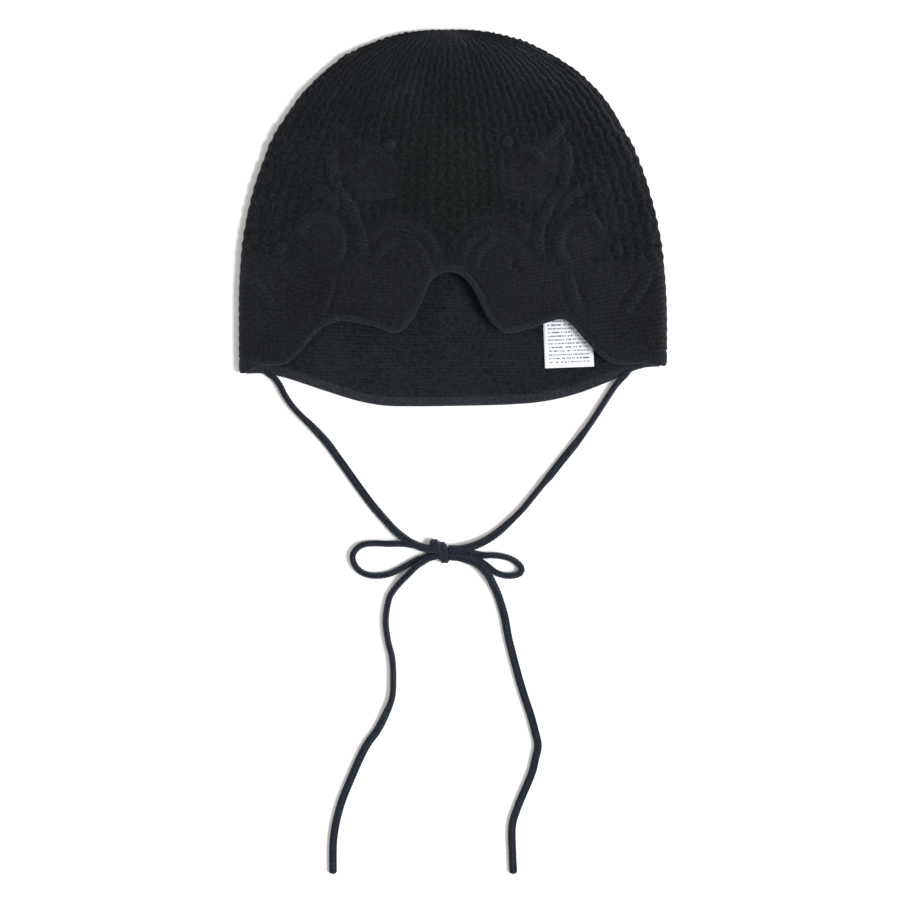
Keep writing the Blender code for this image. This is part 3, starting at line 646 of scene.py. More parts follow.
def front_swell(points):
    """Height of the raised pattern over the front layer."""
    crests, grooves = np.zeros(len(points)), np.zeros(len(points))
    for shares in RIDGE_SHARES.values():
        for hand in (-1, 1):
            line = np.array([pattern_place(hand * across, up) for across, up in shares])
            raise_ridge(crests, grooves, points, smooth_curve(line, RIDGE_PARTS))
    for across, up in BOBBLE_SHARES:
        off = np.linalg.norm(points - pattern_place(across, up), axis=1) / (BOBBLE_DIAMETER / 2)
        ball = BOBBLE_HEIGHT * np.maximum(0.0, 1.0 - off ** 2) ** BOBBLE_ROUNDNESS
        crests = np.maximum(crests, ball)
        grooves = np.maximum(grooves, groove_beside(off, *BOBBLE_GROOVE))
    swell = crests - grooves * (1.0 - np.minimum(1.0, crests / RIDGE_HEIGHT))
    for across, up in EYELET_SHARES:
        off = np.linalg.norm((points - pattern_place(across, up)) / (1.0, EYELET_STRETCH), axis=1)
        swell -= EYELET_DEPTH * np.exp(-(off / (EYELET_DIAMETER / 2)) ** 4)
    return swell


def mesh_share(points):
    """1 where the cloth is open mesh, 0 where it is fine stitches."""
    up = (points[:, 1] - CORNER_LEVEL) / (CROWN_TOP - CORNER_LEVEL)
    share = smooth_step((up - FINE_LEVEL_SHARE) * (CROWN_TOP - CORNER_LEVEL) / FINE_FADE + 0.5)
    for across, level, radius in FINE_FIELDS:
        for hand in (-1, 1):
            off = np.linalg.norm(points - pattern_place(hand * across, level), axis=1)
            share = np.minimum(share, smooth_step((off - radius) / FINE_FADE + 0.5))
    return share


def lie_of(points):
    """Slow, shallow unevenness with which the soft cloth lies."""
    x, y = points[:, 0], points[:, 1]
    (x_pace, x_start), (y_pace, y_start) = LIE_PATCHES
    lie = np.sin(x_pace * x + x_start) * np.sin(y_pace * y + y_start)
    for share, along_x, along_y, start in LIE_WAVES:
        lie += share * np.sin(along_x * x + along_y * y + start)
    return LIE_UNEVEN * lie


def course_at(points):
    """Courses counted from the crown's top: rings round it there, level rows at the hem."""
    down = CROWN_TOP - points[:, 1]
    from_top = np.hypot(points[:, 0], down)
    level = np.clip(down / (CROWN_TOP - CORNER_LEVEL), 0.0, 1.0) ** COURSE_LEVELLING
    return mix(from_top, down, level) / COURSE_PITCH


def zipped(first, second):
    """Faces between two chains of vertices of different length."""
    faces = []
    i = j = 0
    while i < len(first) - 1 or j < len(second) - 1:
        if j == len(second) - 1 or (i < len(first) - 1 and (i + 1) * len(second) <= (j + 1) * len(first)):
            faces.append((first[i], first[i + 1], second[j]))
            i += 1
        else:
            faces.append((first[i], second[j + 1], second[j]))
            j += 1
    return faces


def grid_faces(columns, rows, start):
    corner = start + (np.arange(columns - 1)[:, None] * rows + np.arange(rows - 1)[None, :]).ravel()
    return np.stack((corner, corner + rows, corner + rows + 1, corner + 1), axis=1).tolist()


def mesh_object(name, vertices, faces, attributes):
    """A smooth-shaded mesh object, its faces outward, with one number at each vertex for each attribute."""
    data = bpy.data.meshes.new(name)
    data.from_pydata(np.asarray(vertices).tolist(), [], faces)
    for key, values in attributes.items():
        layer = data.attributes.new(key, "FLOAT", "POINT")
        layer.data.foreach_set("value", np.asarray(values, np.float32))
    data.shade_smooth()
    face_outward(data)
    piece = bpy.data.objects.new(name, data)
    bpy.context.scene.collection.objects.link(piece)
    return piece


def face_outward(data):
    work = bmesh.new()
    work.from_mesh(data)
    bmesh.ops.recalc_face_normals(work, faces=work.faces)
    work.to_mesh(data)
    work.free()


def closed_shell(rim, outer_rows, inner_rows):
    """A thin shell over the rim: outer skin, inner skin, rim and side joins.

    Gives its points, their shares across, its faces, and the number of its first inner point.
    """
    vertices, faces, starts, across_all = [], [], [], []
    for inset, rows in ((0.0, outer_rows), (KNIT_WALL, inner_rows)):
        start = sum(len(part) for part in vertices)
        across, points = rim.skin(inset, rows)
        columns = len(across)
        pole = np.array((middle_at(CROWN_TOP - inset), CROWN_TOP - inset, FOLD_RADIUS))
        vertices.append(np.vstack((points.reshape(-1, 3), pole)))
        across_all.append(np.append(across.ravel(), 0.0))
        starts.append(start)
        faces += grid_faces(columns, rows, start)
        last = (start + np.arange(columns) * rows + rows - 1).tolist()
        faces += [(here, after, start + columns * rows) for here, after in zip(last, last[1:])]
    outer, inner = starts
    for index in range(columns - 1):
        here, after = outer + index * outer_rows, outer + (index + 1) * outer_rows
        under, beyond = inner + index * inner_rows, inner + (index + 1) * inner_rows
        faces.append((here, under, beyond, after))
    for column in (0, columns - 1):
        edge = [outer + column * outer_rows + row for row in range(outer_rows)]
        edge.append(outer + columns * outer_rows)
        seam = [inner + column * inner_rows + row for row in range(inner_rows)]
        seam.append(inner + columns * inner_rows)
        faces += zipped(edge, seam)
    return np.vstack(vertices), np.concatenate(across_all), faces, inner


def cloth_layer(name, side, steps, outer_rows, inner_rows):
    """One layer of the body, with what its stitches and its pattern read at each point."""
    points, across, faces, inner = closed_shell(Rim(side, steps), outer_rows, inner_rows)
    flat = points[:, :2]
    outside = np.arange(len(points)) < inner
    pattern = np.zeros(len(points))
    lace = np.where(outside, mesh_share(flat), 0.0)
    lie = lie_of(flat) * smooth_step((HALF_WIDTH - np.abs(flat[:, 0])) / LIE_FADE)
    near_pole = np.hypot(flat[:, 0] - middle_at(CROWN_TOP), flat[:, 1] - CROWN_TOP)
    lace *= smooth_step(near_pole / POLE_FADE)
    if side > 0:
        pattern = np.where(outside, front_swell(flat), 0.0)
        lace *= 1.0 - smooth_step(pattern / (RIDGE_HEIGHT * MESH_CLEARANCE))
        swell = pattern + lie - MESH_HEIGHT * MESH_SINK * lace
    else:
        under = np.clip(1.0 - points[:, 2] / FOLD_RADIUS, 0.0, 1.0)
        swell = np.where(outside, -MESH_HEIGHT * mix(MESH_SINK, 1.0, under) * lace, 0.0)
    course = course_at(flat)
    fold = smooth_step(1.0 - (1.0 - np.abs(across)) * HALF_WIDTH / BEAD_REACH)
    bead = FOLD_BEAD * fold * mix(BEAD_LEAST, 1.0, mesh_share(flat))
    swell += bead * np.cos(2 * math.pi * course)
    attributes = {
        "wale": across * WALES_ACROSS,
        "course": course,
        "lace": lace,
        "ridge": np.clip(pattern / RIDGE_HEIGHT, -1.0, 1.0),
        "purl": np.where(outside, 0.0, 1.0),
        "decrease": smooth_step((points[:, 1] - DECREASE_LEVELS[0])
                                / (DECREASE_LEVELS[1] - DECREASE_LEVELS[0])),
        "swell": swell,
    }
    return mesh_object(name, points, faces, attributes)


def edging(name, side):
    """A rounded edge that follows the rim, its ribs counted along it."""
    length = reach_along(edge_line(side))[-1]
    rim = Rim(side, round(length / EDGE_STEP), EDGE_FOLD_STEPS)
    proud = EDGE_BULGE * rim.frontness
    depth = KNIT_WALL + EDGE_BULGE + proud - RIB_HEIGHT
    rings = []
    for index in range(EDGE_SIDES):
        angle = 2 * math.pi * (index + 0.5) / EDGE_SIDES
        reach = math.copysign(abs(math.cos(angle)) ** EDGE_ROUNDNESS, math.cos(angle))
        sink = math.copysign(abs(math.sin(angle)) ** EDGE_ROUNDNESS, math.sin(angle))
        offset = (rim.edge_width - RIB_HEIGHT) / 2 * reach
        inset = depth / 2 * (1.0 + sink) - proud + RIB_HEIGHT / 2
        rings.append(rim.points(offset, inset))
    rings = np.stack(rings, axis=1)
    rings[[0, -1], :, 2] += SEAT_GAP / 2 * side
    run = reach_along(rings.mean(axis=1))
    attributes = {"along": np.repeat(run / RIB_PITCH, EDGE_SIDES)}
    return tube_object(name, [(rings, attributes, False)])


def tube_faces(count, sides, start, closed):
    ring = np.arange(count if closed else count - 1)[:, None]
    side = np.arange(sides)[None, :]
    after = (side + 1) % sides
    beyond = (ring + 1) % count
    corners = (ring * sides + side, ring * sides + after, beyond * sides + after, beyond * sides + side)
    faces = (start + np.stack([corner.ravel() for corner in corners], axis=1)).tolist()
    if not closed:
        faces.append(list(range(start, start + sides)))
        faces.append(list(range(start + (count - 1) * sides, start + count * sides)))
    return faces


def tube_object(name, parts):
    """A piece made of tubes, each through rings of as many points, closed at its ends or in itself."""
    vertices, faces, attributes = [], [], {}
    start = 0
    for rings, values, closed in parts:
        count, sides = rings.shape[:2]
        vertices.append(rings.reshape(-1, 3))
        faces += tube_faces(count, sides, start, closed)
        start += count * sides
        for key, value in values.items():
            attributes.setdefault(key, []).append(value)
    joined = {key: np.concatenate(value) for key, value in attributes.items()}
    return mesh_object(name, np.vstack(vertices), faces, joined)


def cord_rings(path, width, height, upright, closed=False, bare=False, sewn=False,
               twist=((0.0, 0.0),)):
    """Rings round a path: width across it, height towards upright.

    A bare end is rounded, and a sewn start is drawn thin under the hem.
    """
    length = reach_along(path)[-1]
    places, ways = spaced(path, max(FEWEST_RINGS, round(length / CORD_STEP)))
    if closed:
        places = places[:-1]
        ways = np.roll(places, -1, axis=0) - np.roll(places, 1, axis=0)
        ways /= np.linalg.norm(ways, axis=1)[:, None]
    aside = np.cross(ways, upright)
    aside /= np.linalg.norm(aside, axis=1)[:, None]
    up = np.cross(aside, ways)
    share = np.linspace(0.0, 1.0, len(places), endpoint=not closed)
    size = np.ones(len(places))
    if bare:
        near = np.clip((1.0 - share) * length / (height / 2), 0.0, 1.0)
        size = np.sqrt(np.maximum(TIP_SHARE, 1.0 - (1.0 - near) ** 2))
    if sewn:
        size = mix(SEWN_SHARE, 1.0, smooth_step(share * length / SEWN_RUN))
    turn = 2 * math.pi * np.interp(share, *np.transpose(twist))[:, None]
    across = np.cos(turn) * aside + np.sin(turn) * up
    over = np.cos(turn) * up - np.sin(turn) * aside
    angle = 2 * math.pi * np.arange(CORD_SIDES) / CORD_SIDES - math.pi / 2
    ring = (np.cos(angle)[None, :, None] * across[:, None, :] * width / 2
            + np.sin(angle)[None, :, None] * over[:, None, :] * height / 2)
    attributes = {
        "wale": np.tile(np.arange(CORD_SIDES) / CORD_SIDES * CORD_WALES, len(places)),
        "course": np.repeat(share * round(length / CORD_COURSE), CORD_SIDES),
        "fade": np.repeat(size, CORD_SIDES),
    }
    return places[:, None, :] + ring * size[:, None, None], attributes, closed


def add_cord(name):
    """One cord as a knitted tube along its route, and the route itself."""
    path = smooth_curve(ROUTES[name])
    reach = reach_along(path)
    turn = 2 * math.pi * np.interp(reach / reach[-1], *np.transpose(TWISTS[name]))
    half_height = np.hypot(CORD_BREADTH * np.sin(turn), CORD_HEIGHT * np.cos(turn)) / 2
    lowest = half_height + (1.0 - STITCH_SINK) * CORD_STITCH_HEIGHT
    path[:, 2] += np.maximum(0.0, lowest - ON_FLOOR)
    rings = cord_rings(path, CORD_BREADTH, CORD_HEIGHT, (0.0, 0.0, 1.0), bare=name in FREE_ENDS,
                       sewn=name in TIES, twist=TWISTS[name])
    piece = tube_object(name + "_cord", [rings])
    return piece, path


def add_knot():
    """Two wraps of cord round the bow's strands, and the short strands that run through them."""
    thin = CORD_DIAMETER - CORD_STITCH_HEIGHT
    parts = []
    for wrap in WRAPS:
        turn = np.linspace(0.0, 2 * math.pi, WRAP_POINTS)
        y = wrap["reach"][0] * np.cos(turn)
        z = wrap["reach"][1] * np.sin(turn)
        path = np.array(wrap["middle"]) + np.column_stack((wrap["lean"] * y, y, z))
        parts.append(cord_rings(path, thin, WRAP_CORD_WIDTH, (1.0, 0.0, 0.0), True))
    for strand in KNOT_STRANDS:
        parts.append(cord_rings(smooth_curve(strand), thin, thin, (0.0, 0.0, 1.0)))
    return tube_object("bow_knot_wraps", parts)


def add_label():
    """A woven label, turned a little and lying in the cap with a slight wave."""
    columns, rows = LABEL_STEPS
    foot = CORNER_LEVEL - LABEL_FOOT_DROP
    middle = np.array((LABEL_MIDDLE_ACROSS * HALF_WIDTH, foot + LABEL_LENGTH / 2))
    right = np.array((math.cos(LABEL_TURN), math.sin(LABEL_TURN)))
    up = np.array((-right[1], right[0]))
    u, v = np.meshgrid(np.linspace(-0.5, 0.5, columns + 1), np.linspace(-0.5, 0.5, rows + 1),
                       indexing="ij")
    flat = middle + u[..., None] * LABEL_WIDTH * right + v[..., None] * LABEL_LENGTH * up
    along_wave = np.sin(2 * math.pi * LABEL_WAVES_ALONG * v + LABEL_WAVE_START)
    across_wave = np.cos(2 * math.pi * LABEL_WAVES_ACROSS * u)
    low = KNIT_WALL + SEAT_GAP + LABEL_WAVE * (1.0 + along_wave * across_wave)
    vertices = []
    for height in (low + LABEL_THICKNESS, low):
        vertices.append(np.concatenate((flat, height[..., None]), axis=-1).reshape(-1, 3))
    count = (columns + 1) * (rows + 1)
    faces = grid_faces(columns + 1, rows + 1, 0)
    faces += [face[::-1] for face in grid_faces(columns + 1, rows + 1, count)]
    edge = [index * (rows + 1) for index in range(columns + 1)]
    edge += [columns * (rows + 1) + index for index in range(1, rows + 1)]
    edge += [index * (rows + 1) + rows for index in reversed(range(columns))]
    edge += list(reversed(range(1, rows)))
    for here, after in zip(edge, edge[1:] + edge[:1]):
        faces.append((here, here + count, after + count, after))
    attributes = {
        "label_u": np.tile((u + 0.5).ravel(), 2),
        "label_v": np.tile((v + 0.5).ravel(), 2),
    }
    return mesh_object("woven_label", np.vstack(vertices), faces, attributes)


class Formula:
    """Adds nodes to one node tree, so that a rule reads as a rule."""

    def __init__(self, tree):
        self.tree = tree

    def node(self, kind, **settings):
        made = self.tree.nodes.new(kind)
        for key, value in settings.items():
            setattr(made, key, value)
        return made

    def put(self, socket, value):
        if isinstance(value, bpy.types.NodeSocket):
            self.tree.links.new(value, socket)
        else:
            socket.default_value = value

    def math(self, operation, *values):
        made = self.node("ShaderNodeMath", operation=operation)
        for socket, value in zip(made.inputs, values):
            self.put(socket, value)
        return made.outputs[0]

    def add(self, first, second):
        return self.math("ADD", first, second)

    def less(self, first, second):
        return self.math("SUBTRACT", first, second)

    def times(self, first, *others):
        for other in others:
            first = self.math("MULTIPLY", first, other)
        return first

    def power(self, value, exponent):
        return self.math("POWER", self.math("MAXIMUM", value, 0.0), exponent)

    def rest(self, value):
        return self.math("SUBTRACT", 1.0, value)

    def mix(self, first, second, share):
        return self.add(self.times(first, self.rest(share)), self.times(second, share))

    def cosine(self, turns):
        return self.math("COSINE", self.times(turns, 2 * math.pi))

    def wave(self, turns):
        """0 to 1 and back, with its top at each whole turn."""
        return self.math("MULTIPLY_ADD", self.cosine(turns), 0.5, 0.5)

    def partly(self, value, share):
        """1 where the value is 1, and as much less by this share where it is less."""
        return self.math("MULTIPLY_ADD", value, share, 1.0 - share)

    def wander(self, scale, seed):
        """Noise about zero, in patches whose size falls as scale grows."""
        made = self.node("ShaderNodeTexNoise", noise_dimensions="4D")
        made.inputs["Scale"].default_value = scale
        self.put(made.inputs["W"], seed)
        return self.less(made.outputs[0], 0.5)

    def open_mesh(self, wale, course, zigzag):
        """Crest and pinhole of the open mesh: wavy wales, with staggered holes between them."""
        bent = self.add(wale, self.times(self.cosine(self.times(course, 0.5)), zigzag))
        ridge = self.wave(bent)
        crest_side = self.math("SIGN", self.cosine(self.times(bent, 0.5)))
        bead = self.math("MULTIPLY_ADD", self.times(self.cosine(course), crest_side), 0.5, 0.5)
        hole_side = self.math("SIGN", self.cosine(self.math("MULTIPLY_ADD", bent, 0.5, -0.25)))
        spot = self.math("MULTIPLY_ADD", self.times(self.cosine(course), hole_side), 0.5, 0.5)
        crest = self.times(ridge, self.partly(bead, CREST_BEAD))
        hole = self.times(self.power(self.rest(ridge), HOLE_NARROWNESS), self.partly(spot, HOLE_SPOT))
        return crest, hole

    def plain_stitches(self, wale, course):
        """Height of plain knitting: in each wale, two legs that lean apart like a V."""
        off = self.math("ABSOLUTE", self.less(self.math("FRACT", wale), 0.5))
        leg = self.power(self.math("SINE", self.times(off, 2 * math.pi)), STITCH_ROUNDNESS)
        strand = self.wave(self.less(course, self.times(off, STITCH_LEAN)))
        return self.times(leg, self.partly(strand, STITCH_STRAND))

    def purl_stitches(self, wale, course):
        """Height of the cloth's inner side: rows of small arcs."""
        return self.wave(self.add(course, self.times(self.cosine(wale), PURL_ARC)))


def new_input(tree, name, kind, value=None):
    socket = tree.interface.new_socket(name=name, in_out="INPUT", socket_type=kind)
    if value is not None:
        socket.default_value = value


def relief_tree(name, sizes, rule):
    """Geometry nodes that raise a surface by a rule. sizes: the named inputs; rule: gives the height."""
    tree = bpy.data.node_groups.new(name, "GeometryNodeTree")
    new_input(tree, "Geometry", "NodeSocketGeometry")
    for key, value in sizes.items():
        new_input(tree, key, "NodeSocketFloat", value)
    new_input(tree, "Finish", "NodeSocketMaterial")
    tree.interface.new_socket(name="Geometry", in_out="OUTPUT", socket_type="NodeSocketGeometry")
    make = Formula(tree)
    source = make.node("NodeGroupInput")
    given = {socket.name: socket for socket in source.outputs}

    def attribute(key):
        made = make.node("GeometryNodeInputNamedAttribute", data_type="FLOAT")
        made.inputs["Name"].default_value = key
        return made.outputs["Attribute"]

    height, kept = rule(make, given, attribute)
    geometry = given["Geometry"]
    for key, value in kept.items():
        store = make.node("GeometryNodeStoreNamedAttribute", data_type="FLOAT", domain="POINT")
        make.put(store.inputs["Geometry"], geometry)
        store.inputs["Name"].default_value = key
        make.put(store.inputs["Value"], value)
        geometry = store.outputs["Geometry"]
    normal = make.node("GeometryNodeInputNormal")
    offset = make.node("ShaderNodeVectorMath", operation="SCALE")
    make.put(offset.inputs[0], normal.outputs["Normal"])
    make.put(offset.inputs["Scale"], height)
    move = make.node("GeometryNodeSetPosition")
    make.put(move.inputs["Geometry"], geometry)
    make.put(move.inputs["Offset"], offset.outputs[0])
    real = make.node("GeometryNodeRealizeInstances")
    make.put(real.inputs["Geometry"], move.outputs["Geometry"])
    paint = make.node("GeometryNodeSetMaterial")
    make.put(paint.inputs["Geometry"], real.outputs["Geometry"])
    make.put(paint.inputs["Material"], given["Finish"])
    target = make.node("NodeGroupOutput")
    make.put(target.inputs["Geometry"], paint.outputs["Geometry"])
    return tree


def cloth_rule(make, given, attribute):
    """Open mesh where the cloth is lace, with fewer wales towards the crown, and the raised pattern."""
    wale, course, lace = attribute("wale"), attribute("course"), attribute("lace")
    decrease = attribute("decrease")
    crest, hole = make.open_mesh(wale, course, given["Zigzag"])
    few = make.times(wale, WALES_AT_TOP / WALES_ACROSS)
    top_crest, top_hole = make.open_mesh(few, course, given["Zigzag"])
    crest = make.times(make.mix(crest, top_crest, decrease), lace)
    hole = make.times(make.mix(hole, top_hole, decrease), lace)
    crest_wander = make.wander(CREST_PATCHES, make.add(given["Seed"], 1.0))
    hole_wander = make.wander(HOLE_PATCHES, make.add(given["Seed"], 2.0))
    crest = make.times(crest, make.math("MULTIPLY_ADD", crest_wander, CREST_UNEVEN, 1.0))
    hole = make.times(hole, make.math("MULTIPLY_ADD", hole_wander, HOLE_UNEVEN, HOLE_LEAST))
    hole = make.math("MAXIMUM", hole, 0.0)
    uneven = make.times(make.wander(MESH_PATCHES, given["Seed"]), given["Unevenness"])
    height = make.less(make.times(crest, given["Mesh height"]), make.times(hole, given["Pinhole depth"]))
    height = make.add(height, make.add(attribute("swell"), make.times(uneven, lace)))
    return height, {"crest": crest, "pinhole": hole}


def rib_rule(make, given, attribute):
    """Round ribs across the edging, with a sharp valley between each two."""
    rib = make.math("ABSOLUTE", make.cosine(make.times(attribute("along"), 0.5)))
    rib = make.power(rib, RIB_ROUNDNESS)
    return make.times(make.less(rib, 0.5), given["Rib height"]), {"crest": rib}


def cord_rule(make, given, attribute):
    """Lengthwise rows of slanted stitches round the cord."""
    wale, course = attribute("wale"), attribute("course")
    row = make.wave(wale)
    slant = make.times(make.math("SINE", make.times(wale, 2 * math.pi)), CORD_STITCH_SLANT)
    stitch = make.wave(make.add(course, slant))
    crest = make.times(row, make.partly(stitch, CORD_STITCH_SHARE))
    height = make.times(make.less(crest, STITCH_SINK), given["Stitch height"], attribute("fade"))
    return height, {"crest": crest}


def raise_relief(piece, tree, finish, **changed):
    """Runs the tree on the piece and keeps the result as a plain mesh."""
    modifier = piece.modifiers.new(tree.name, "NODES")
    modifier.node_group = tree
    for item in tree.interface.items_tree:
        if item.in_out != "INPUT":
            continue
        if item.name == "Finish":
            modifier[item.identifier] = finish
        elif item.name in changed:
            modifier[item.identifier] = changed[item.name]
    graph = bpy.context.evaluated_depsgraph_get()
    made = bpy.data.meshes.new_from_object(piece.evaluated_get(graph), preserve_all_data_layers=True,
                                           depsgraph=graph)
    piece.modifiers.clear()
    made.name = piece.name
    piece.data = made


class Finish(Formula):
    """A material's node tree, with its shader and the parts that every yarn here shares."""

    def __init__(self, name, roughness, **shader):
        self.material = bpy.data.materials.new(name)
        self.material.use_nodes = True
        super().__init__(self.material.node_tree)
        self.shader = self.tree.nodes["Principled BSDF"]
        self.shader.inputs["Roughness"].default_value = roughness
        self.shader.inputs["Specular IOR Level"].default_value = YARN_GLOSS
        for key, value in shader.items():
            self.shader.inputs[key.replace("_", " ").title()].default_value = value
        self.place = self.node("ShaderNodeTexCoord").outputs["Object"]

    def attribute(self, key):
        return self.node("ShaderNodeAttribute", attribute_name=key).outputs["Fac"]

    def noise(self, scale, detail=2.0):
        made = self.node("ShaderNodeTexNoise")
        made.inputs["Scale"].default_value = scale
        made.inputs["Detail"].default_value = detail
        self.put(made.inputs["Vector"], self.place)
        return made.outputs[0]

    def blend(self, share, first, second):
        made = self.node("ShaderNodeMix", data_type="RGBA")
        self.put(made.inputs[0], share)
        for socket, colour in ((made.inputs[6], first), (made.inputs[7], second)):
            self.put(socket, colour if isinstance(colour, bpy.types.NodeSocket) else (*colour, 1.0))
        return made.outputs[2]

    def bump(self, height, depth, strength=1.0):
        made = self.node("ShaderNodeBump")
        made.inputs["Strength"].default_value = strength
        made.inputs["Distance"].default_value = depth
        self.put(made.inputs["Height"], height)
        self.put(self.shader.inputs["Normal"], made.outputs["Normal"])

    def colour(self, socket):
        self.put(self.shader.inputs["Base Color"], socket)


def yarn_colour_and_shade(finish, dark, light, lit, shade):
    """Yarn colour from dark to light by lit, where light is painted, and by its own clouds and grain; black
    where painted shade is 1.
    """
    cloud = finish.times(finish.less(finish.noise(CLOUD_SCALE), 0.5), CLOUD_CONTRAST)
    grain = finish.times(finish.less(finish.noise(GRAIN_SCALE), 0.5), GRAIN_CONTRAST)
    spread = finish.add(lit, finish.add(cloud, grain))
    tone = finish.blend(finish.math("MINIMUM", finish.math("MAXIMUM", spread, 0.0), 1.0), dark, light)
    return finish.blend(shade, tone, PAINTED_SHADE_BLACK)


def knit_finish():
    """Black knit, plain outside and purl inside: painted shade in pinholes, gaps, grooves; painted light on
    crests.
    """
    finish = Finish("black_knit_yarn", roughness=0.88, sheen_weight=0.08, sheen_roughness=0.55,
                    sheen_tint=KNIT_SHEEN)
    wale = finish.times(finish.attribute("wale"), STITCH_WALES)
    course = finish.times(finish.attribute("course"), STITCH_COURSES)
    plain = finish.plain_stitches(wale, course)
    purl = finish.purl_stitches(wale, course)
    inner = finish.attribute("purl")
    stitch = finish.mix(plain, purl, inner)
    fibre = finish.noise(FIBRE_SCALE, FIBRE_DETAIL)
    lace = finish.attribute("lace")
    ridge = finish.attribute("ridge")
    raised = finish.math("MAXIMUM", ridge, 0.0)
    depth = finish.times(finish.mix(1.0, STITCH_IN_MESH, lace), finish.mix(1.0, STITCH_ON_RIDGE, raised),
                         finish.mix(1.0, STITCH_INSIDE, inner))
    finish.bump(finish.add(finish.times(stitch, depth), finish.times(fibre, FIBRE_SHARE)), STITCH_BUMP)
    # Painted shade: gaps between stitches, grooves, eyelets and pinholes are coloured towards black.
    gap = finish.times(finish.rest(stitch), depth, STITCH_SHADE)
    groove = finish.times(ridge, -GROOVE_SHADE)
    shade = finish.times(finish.attribute("pinhole"), PINHOLE_SHADE)
    shade = finish.math("MAXIMUM", shade, finish.math("MAXIMUM", gap, groove))
    # Painted light: the yarn is coloured lighter on its stitch crests and on the inner side; it is also
    # lighter in the fine fields and a little darker on the ridges.
    lit = finish.add(LIGHT_LEAST, finish.times(stitch, LIGHT_STITCH))
    lit = finish.less(lit, finish.times(raised, LIGHT_RIDGE))
    lit = finish.add(lit, finish.times(finish.rest(lace), LIGHT_FINE))
    lit = finish.add(lit, finish.times(inner, LIGHT_INSIDE))
    # Painted shade: the open mesh's light colour is darker and greener towards the middle.
    from_middle = finish.math("ABSOLUTE", finish.times(finish.attribute("wale"), 1 / WALES_ACROSS))
    light = finish.blend(finish.times(finish.rest(from_middle), lace), BLACK_LIGHT, BLACK_MIDDLE_PAINTED_SHADE)
    finish.colour(yarn_colour_and_shade(finish, BLACK_DARK, light, lit, shade))
    return finish.material


def rib_finish(name, dark, light):
    """Ribbed edging, with painted shade between its ribs."""
    finish = Finish(name, roughness=0.85, sheen_weight=0.10, sheen_roughness=0.5, sheen_tint=RIB_SHEEN)
    crest = finish.attribute("crest")
    fibre = finish.noise(FIBRE_SCALE, FIBRE_DETAIL)
    finish.bump(finish.add(finish.times(crest, RIB_CREST_SHARE), fibre), YARN_BUMP)
    shade = finish.math("MINIMUM", finish.times(finish.rest(crest), RIB_SHADE), 1.0)
    finish.colour(yarn_colour_and_shade(finish, dark, light, HALF_LIGHT, shade))
    return finish.material


def cord_finish():
    """Knit cord, bluer and lighter than the cap, with painted shade between its stitches."""
    finish = Finish("black_cord_yarn", roughness=0.82, sheen_weight=0.14, sheen_roughness=0.5,
                    sheen_tint=CORD_SHEEN)
    crest = finish.attribute("crest")
    fibre = finish.noise(CORD_FIBRE_SCALE, FIBRE_DETAIL)
    finish.bump(finish.add(finish.times(crest, CORD_CREST_SHARE), fibre), YARN_BUMP)
    shade = finish.times(finish.rest(crest), CORD_SHADE)
    finish.colour(yarn_colour_and_shade(finish, CORD_DARK, CORD_LIGHT, HALF_LIGHT, shade))
    return finish.material


def satin_finish():
    """White satin: a fine weave, and rows of plain grey dashes where a care label has its print."""
    finish = Finish("white_satin_weave", roughness=0.42, sheen_weight=0.15)
    across, along = finish.attribute("label_u"), finish.attribute("label_v")
    warp = finish.wave(finish.times(across, LABEL_WIDTH / SATIN_THREAD))
    weft = finish.wave(finish.times(along, LABEL_LENGTH / SATIN_THREAD))
    finish.bump(finish.add(warp, weft), SATIN_BUMP)
    row = finish.times(along, LABEL_ROWS)
    inside_row = finish.math("COMPARE", finish.math("FRACT", row), 0.5, ROW_HALF)
    spot = finish.node("ShaderNodeCombineXYZ")
    finish.put(spot.inputs[0], finish.times(across, DASHES_ACROSS))
    finish.put(spot.inputs[1], finish.times(finish.math("FLOOR", row), ROW_SHIFT))
    spread = finish.node("ShaderNodeTexNoise", noise_dimensions="2D")
    finish.put(spread.inputs["Vector"], spot.outputs[0])
    spread.inputs["Scale"].default_value = 1.0
    dash = finish.math("GREATER_THAN", spread.outputs[0], DASH_LEVEL)
    margin = finish.math("COMPARE", across, *PRINT_ACROSS)
    field = finish.math("COMPARE", along, *PRINT_ALONG)
    share = finish.times(inside_row, dash, margin, field, PRINT_SHARE)
    finish.colour(finish.blend(share, SATIN_WHITE, PRINT_GREY))
    return finish.material


def floor_finish():
    finish = Finish("pale_floor", roughness=0.95)
    grain = finish.noise(FLOOR_GRAIN_SCALE)
    finish.colour(finish.blend(grain, FLOOR_WHITE, FLOOR_PALE))
    return finish.material


def add_camera():
    camera = bpy.data.objects.new("camera", bpy.data.cameras.new("camera"))
    camera.data.sensor_width = SENSOR_WIDTH
    camera.data.lens = SENSOR_WIDTH * CAMERA_HEIGHT / VIEW_WIDTH
    camera.location = (*VIEW_MIDDLE, CAMERA_HEIGHT)
    bpy.context.scene.collection.objects.link(camera)
    bpy.context.scene.camera = camera


def add_light():
    """A white room, slightly warm, and one wide lamp from the right, slightly cool."""
    world = bpy.data.worlds.new("white_room")
    world.use_nodes = True
    room = world.node_tree.nodes["Background"]
    room.inputs["Color"].default_value = ROOM_COLOUR
    room.inputs["Strength"].default_value = ROOM_STRENGTH
    bpy.context.scene.world = world
    lamp = bpy.data.objects.new("soft_lamp", bpy.data.lights.new("soft_lamp", "SUN"))
    lamp.data.energy = SUN_STRENGTH
    lamp.data.angle = SUN_SPREAD
    lamp.data.color = SUN_COLOUR
    lamp.rotation_mode = "QUATERNION"
    lamp.rotation_quaternion = Vector(SUN_FROM).to_track_quat("Z", "Y")
    bpy.context.scene.collection.objects.link(lamp)
    bpy.context.scene.view_settings.view_transform = "Standard"


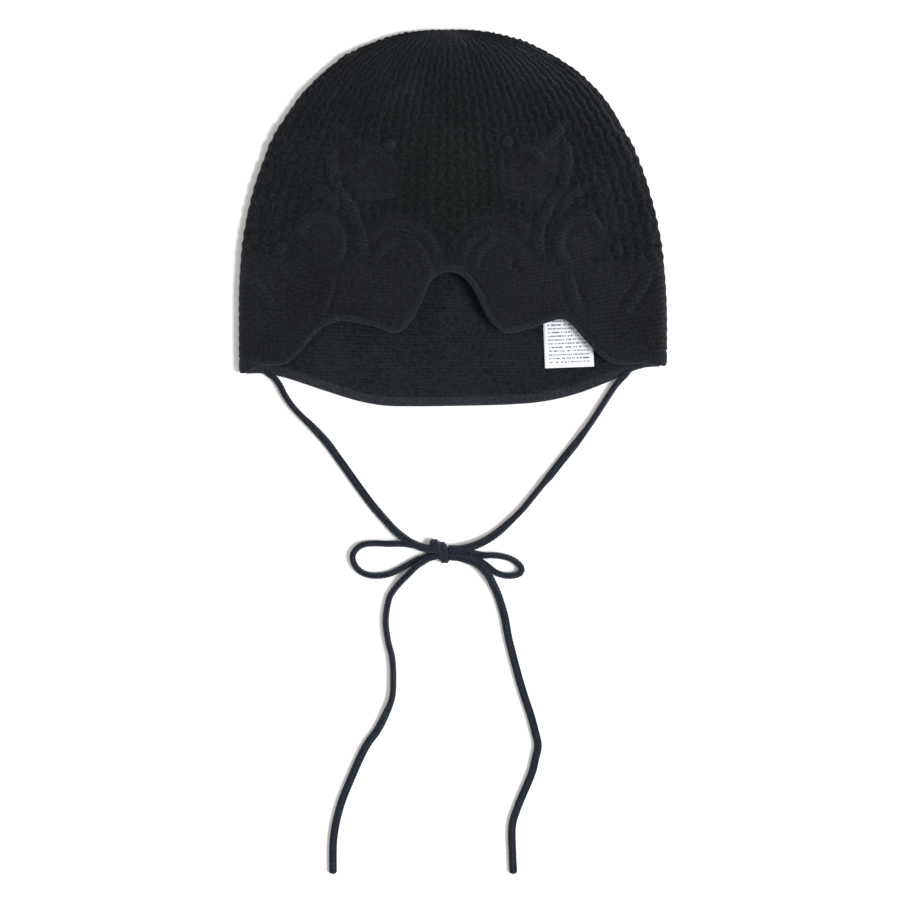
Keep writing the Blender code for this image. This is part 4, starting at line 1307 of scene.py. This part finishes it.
def add_floor():
    half = FLOOR_SIZE / 2
    corners = [(-half, -half), (half, -half), (half, half), (-half, half)]
    data = bpy.data.meshes.new("floor")
    data.from_pydata([(x, y, -FLOOR_DROP) for x, y in corners], [], [(0, 1, 2, 3)])
    data.materials.append(floor_finish())
    floor = bpy.data.objects.new("floor", data)
    bpy.context.scene.collection.objects.link(floor)
    floor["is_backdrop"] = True


def hand_over(piece, node):
    """Puts a finished piece in the place of its solid."""
    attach(piece, "root")
    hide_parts(node)


def build_cords(finish):
    """The knot, then the cords: a tie on each side, the bow's loops, the two free ends."""
    sizes = {"Stitch height": CORD_STITCH_HEIGHT}
    tree = relief_tree("cord_stitches", sizes, cord_rule)
    knot = add_knot()
    raise_relief(knot, tree, finish, **sizes)
    hand_over(knot, "bow_knot")
    for name in ROUTES:
        piece, path = add_cord(name)
        raise_relief(piece, tree, finish, **sizes)
        hand_over(piece, name)
        tuple(path[0])
        float(reach_along(path)[-1])


def build_body(finish):
    """The two layers of the knit body."""
    sizes = {
        "Mesh height": MESH_HEIGHT,
        "Pinhole depth": PINHOLE_DEPTH,
        "Zigzag": ZIGZAG,
        "Unevenness": MESH_UNEVEN,
        "Seed": SEED,
    }
    tree = relief_tree("cloth_stitches", sizes, cloth_rule)
    front = cloth_layer("front_knit", 1, FRONT_STEPS, FRONT_ROWS, HIDDEN_ROWS)
    back = cloth_layer("back_knit", -1, BACK_STEPS, BACK_ROWS, INSIDE_ROWS)
    for layer in (front, back):
        raise_relief(layer, tree, finish, **sizes)
        hand_over(layer, "cap_body")


def build_edgings():
    """The ribbed edgings of the front and of the back, the same yarn in each, the back's coloured lighter
    as painted light.
    """
    sizes = {"Rib height": RIB_HEIGHT}
    tree = relief_tree("edge_ribs", sizes, rib_rule)
    for name, side, band in (("front_edging", 1, FRONT_BAND), ("back_edging", -1, BACK_BAND_PAINTED_LIGHT)):
        piece = edging(name + "_ribs", side)
        raise_relief(piece, tree, rib_finish(name + "_yarn", *band), **sizes)
        hand_over(piece, name)


def build_label(finish):
    """The label, a sheet that lies on the inner face of the back."""
    label = add_label()
    label.data.materials.append(finish)
    hand_over(label, "care_label")


def write_sizes():
    """The solids' box and the finished cap's box, lowest and highest corner each."""
    boxes = {"cad": CAD_BOX, "visual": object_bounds()}
    plain = {name: [list(corner) for corner in box] for name, box in boxes.items()}


add_camera()
add_light()
add_floor()
build_cords(cord_finish())
build_body(knit_finish())
build_edgings()
build_label(satin_finish())
write_sizes()
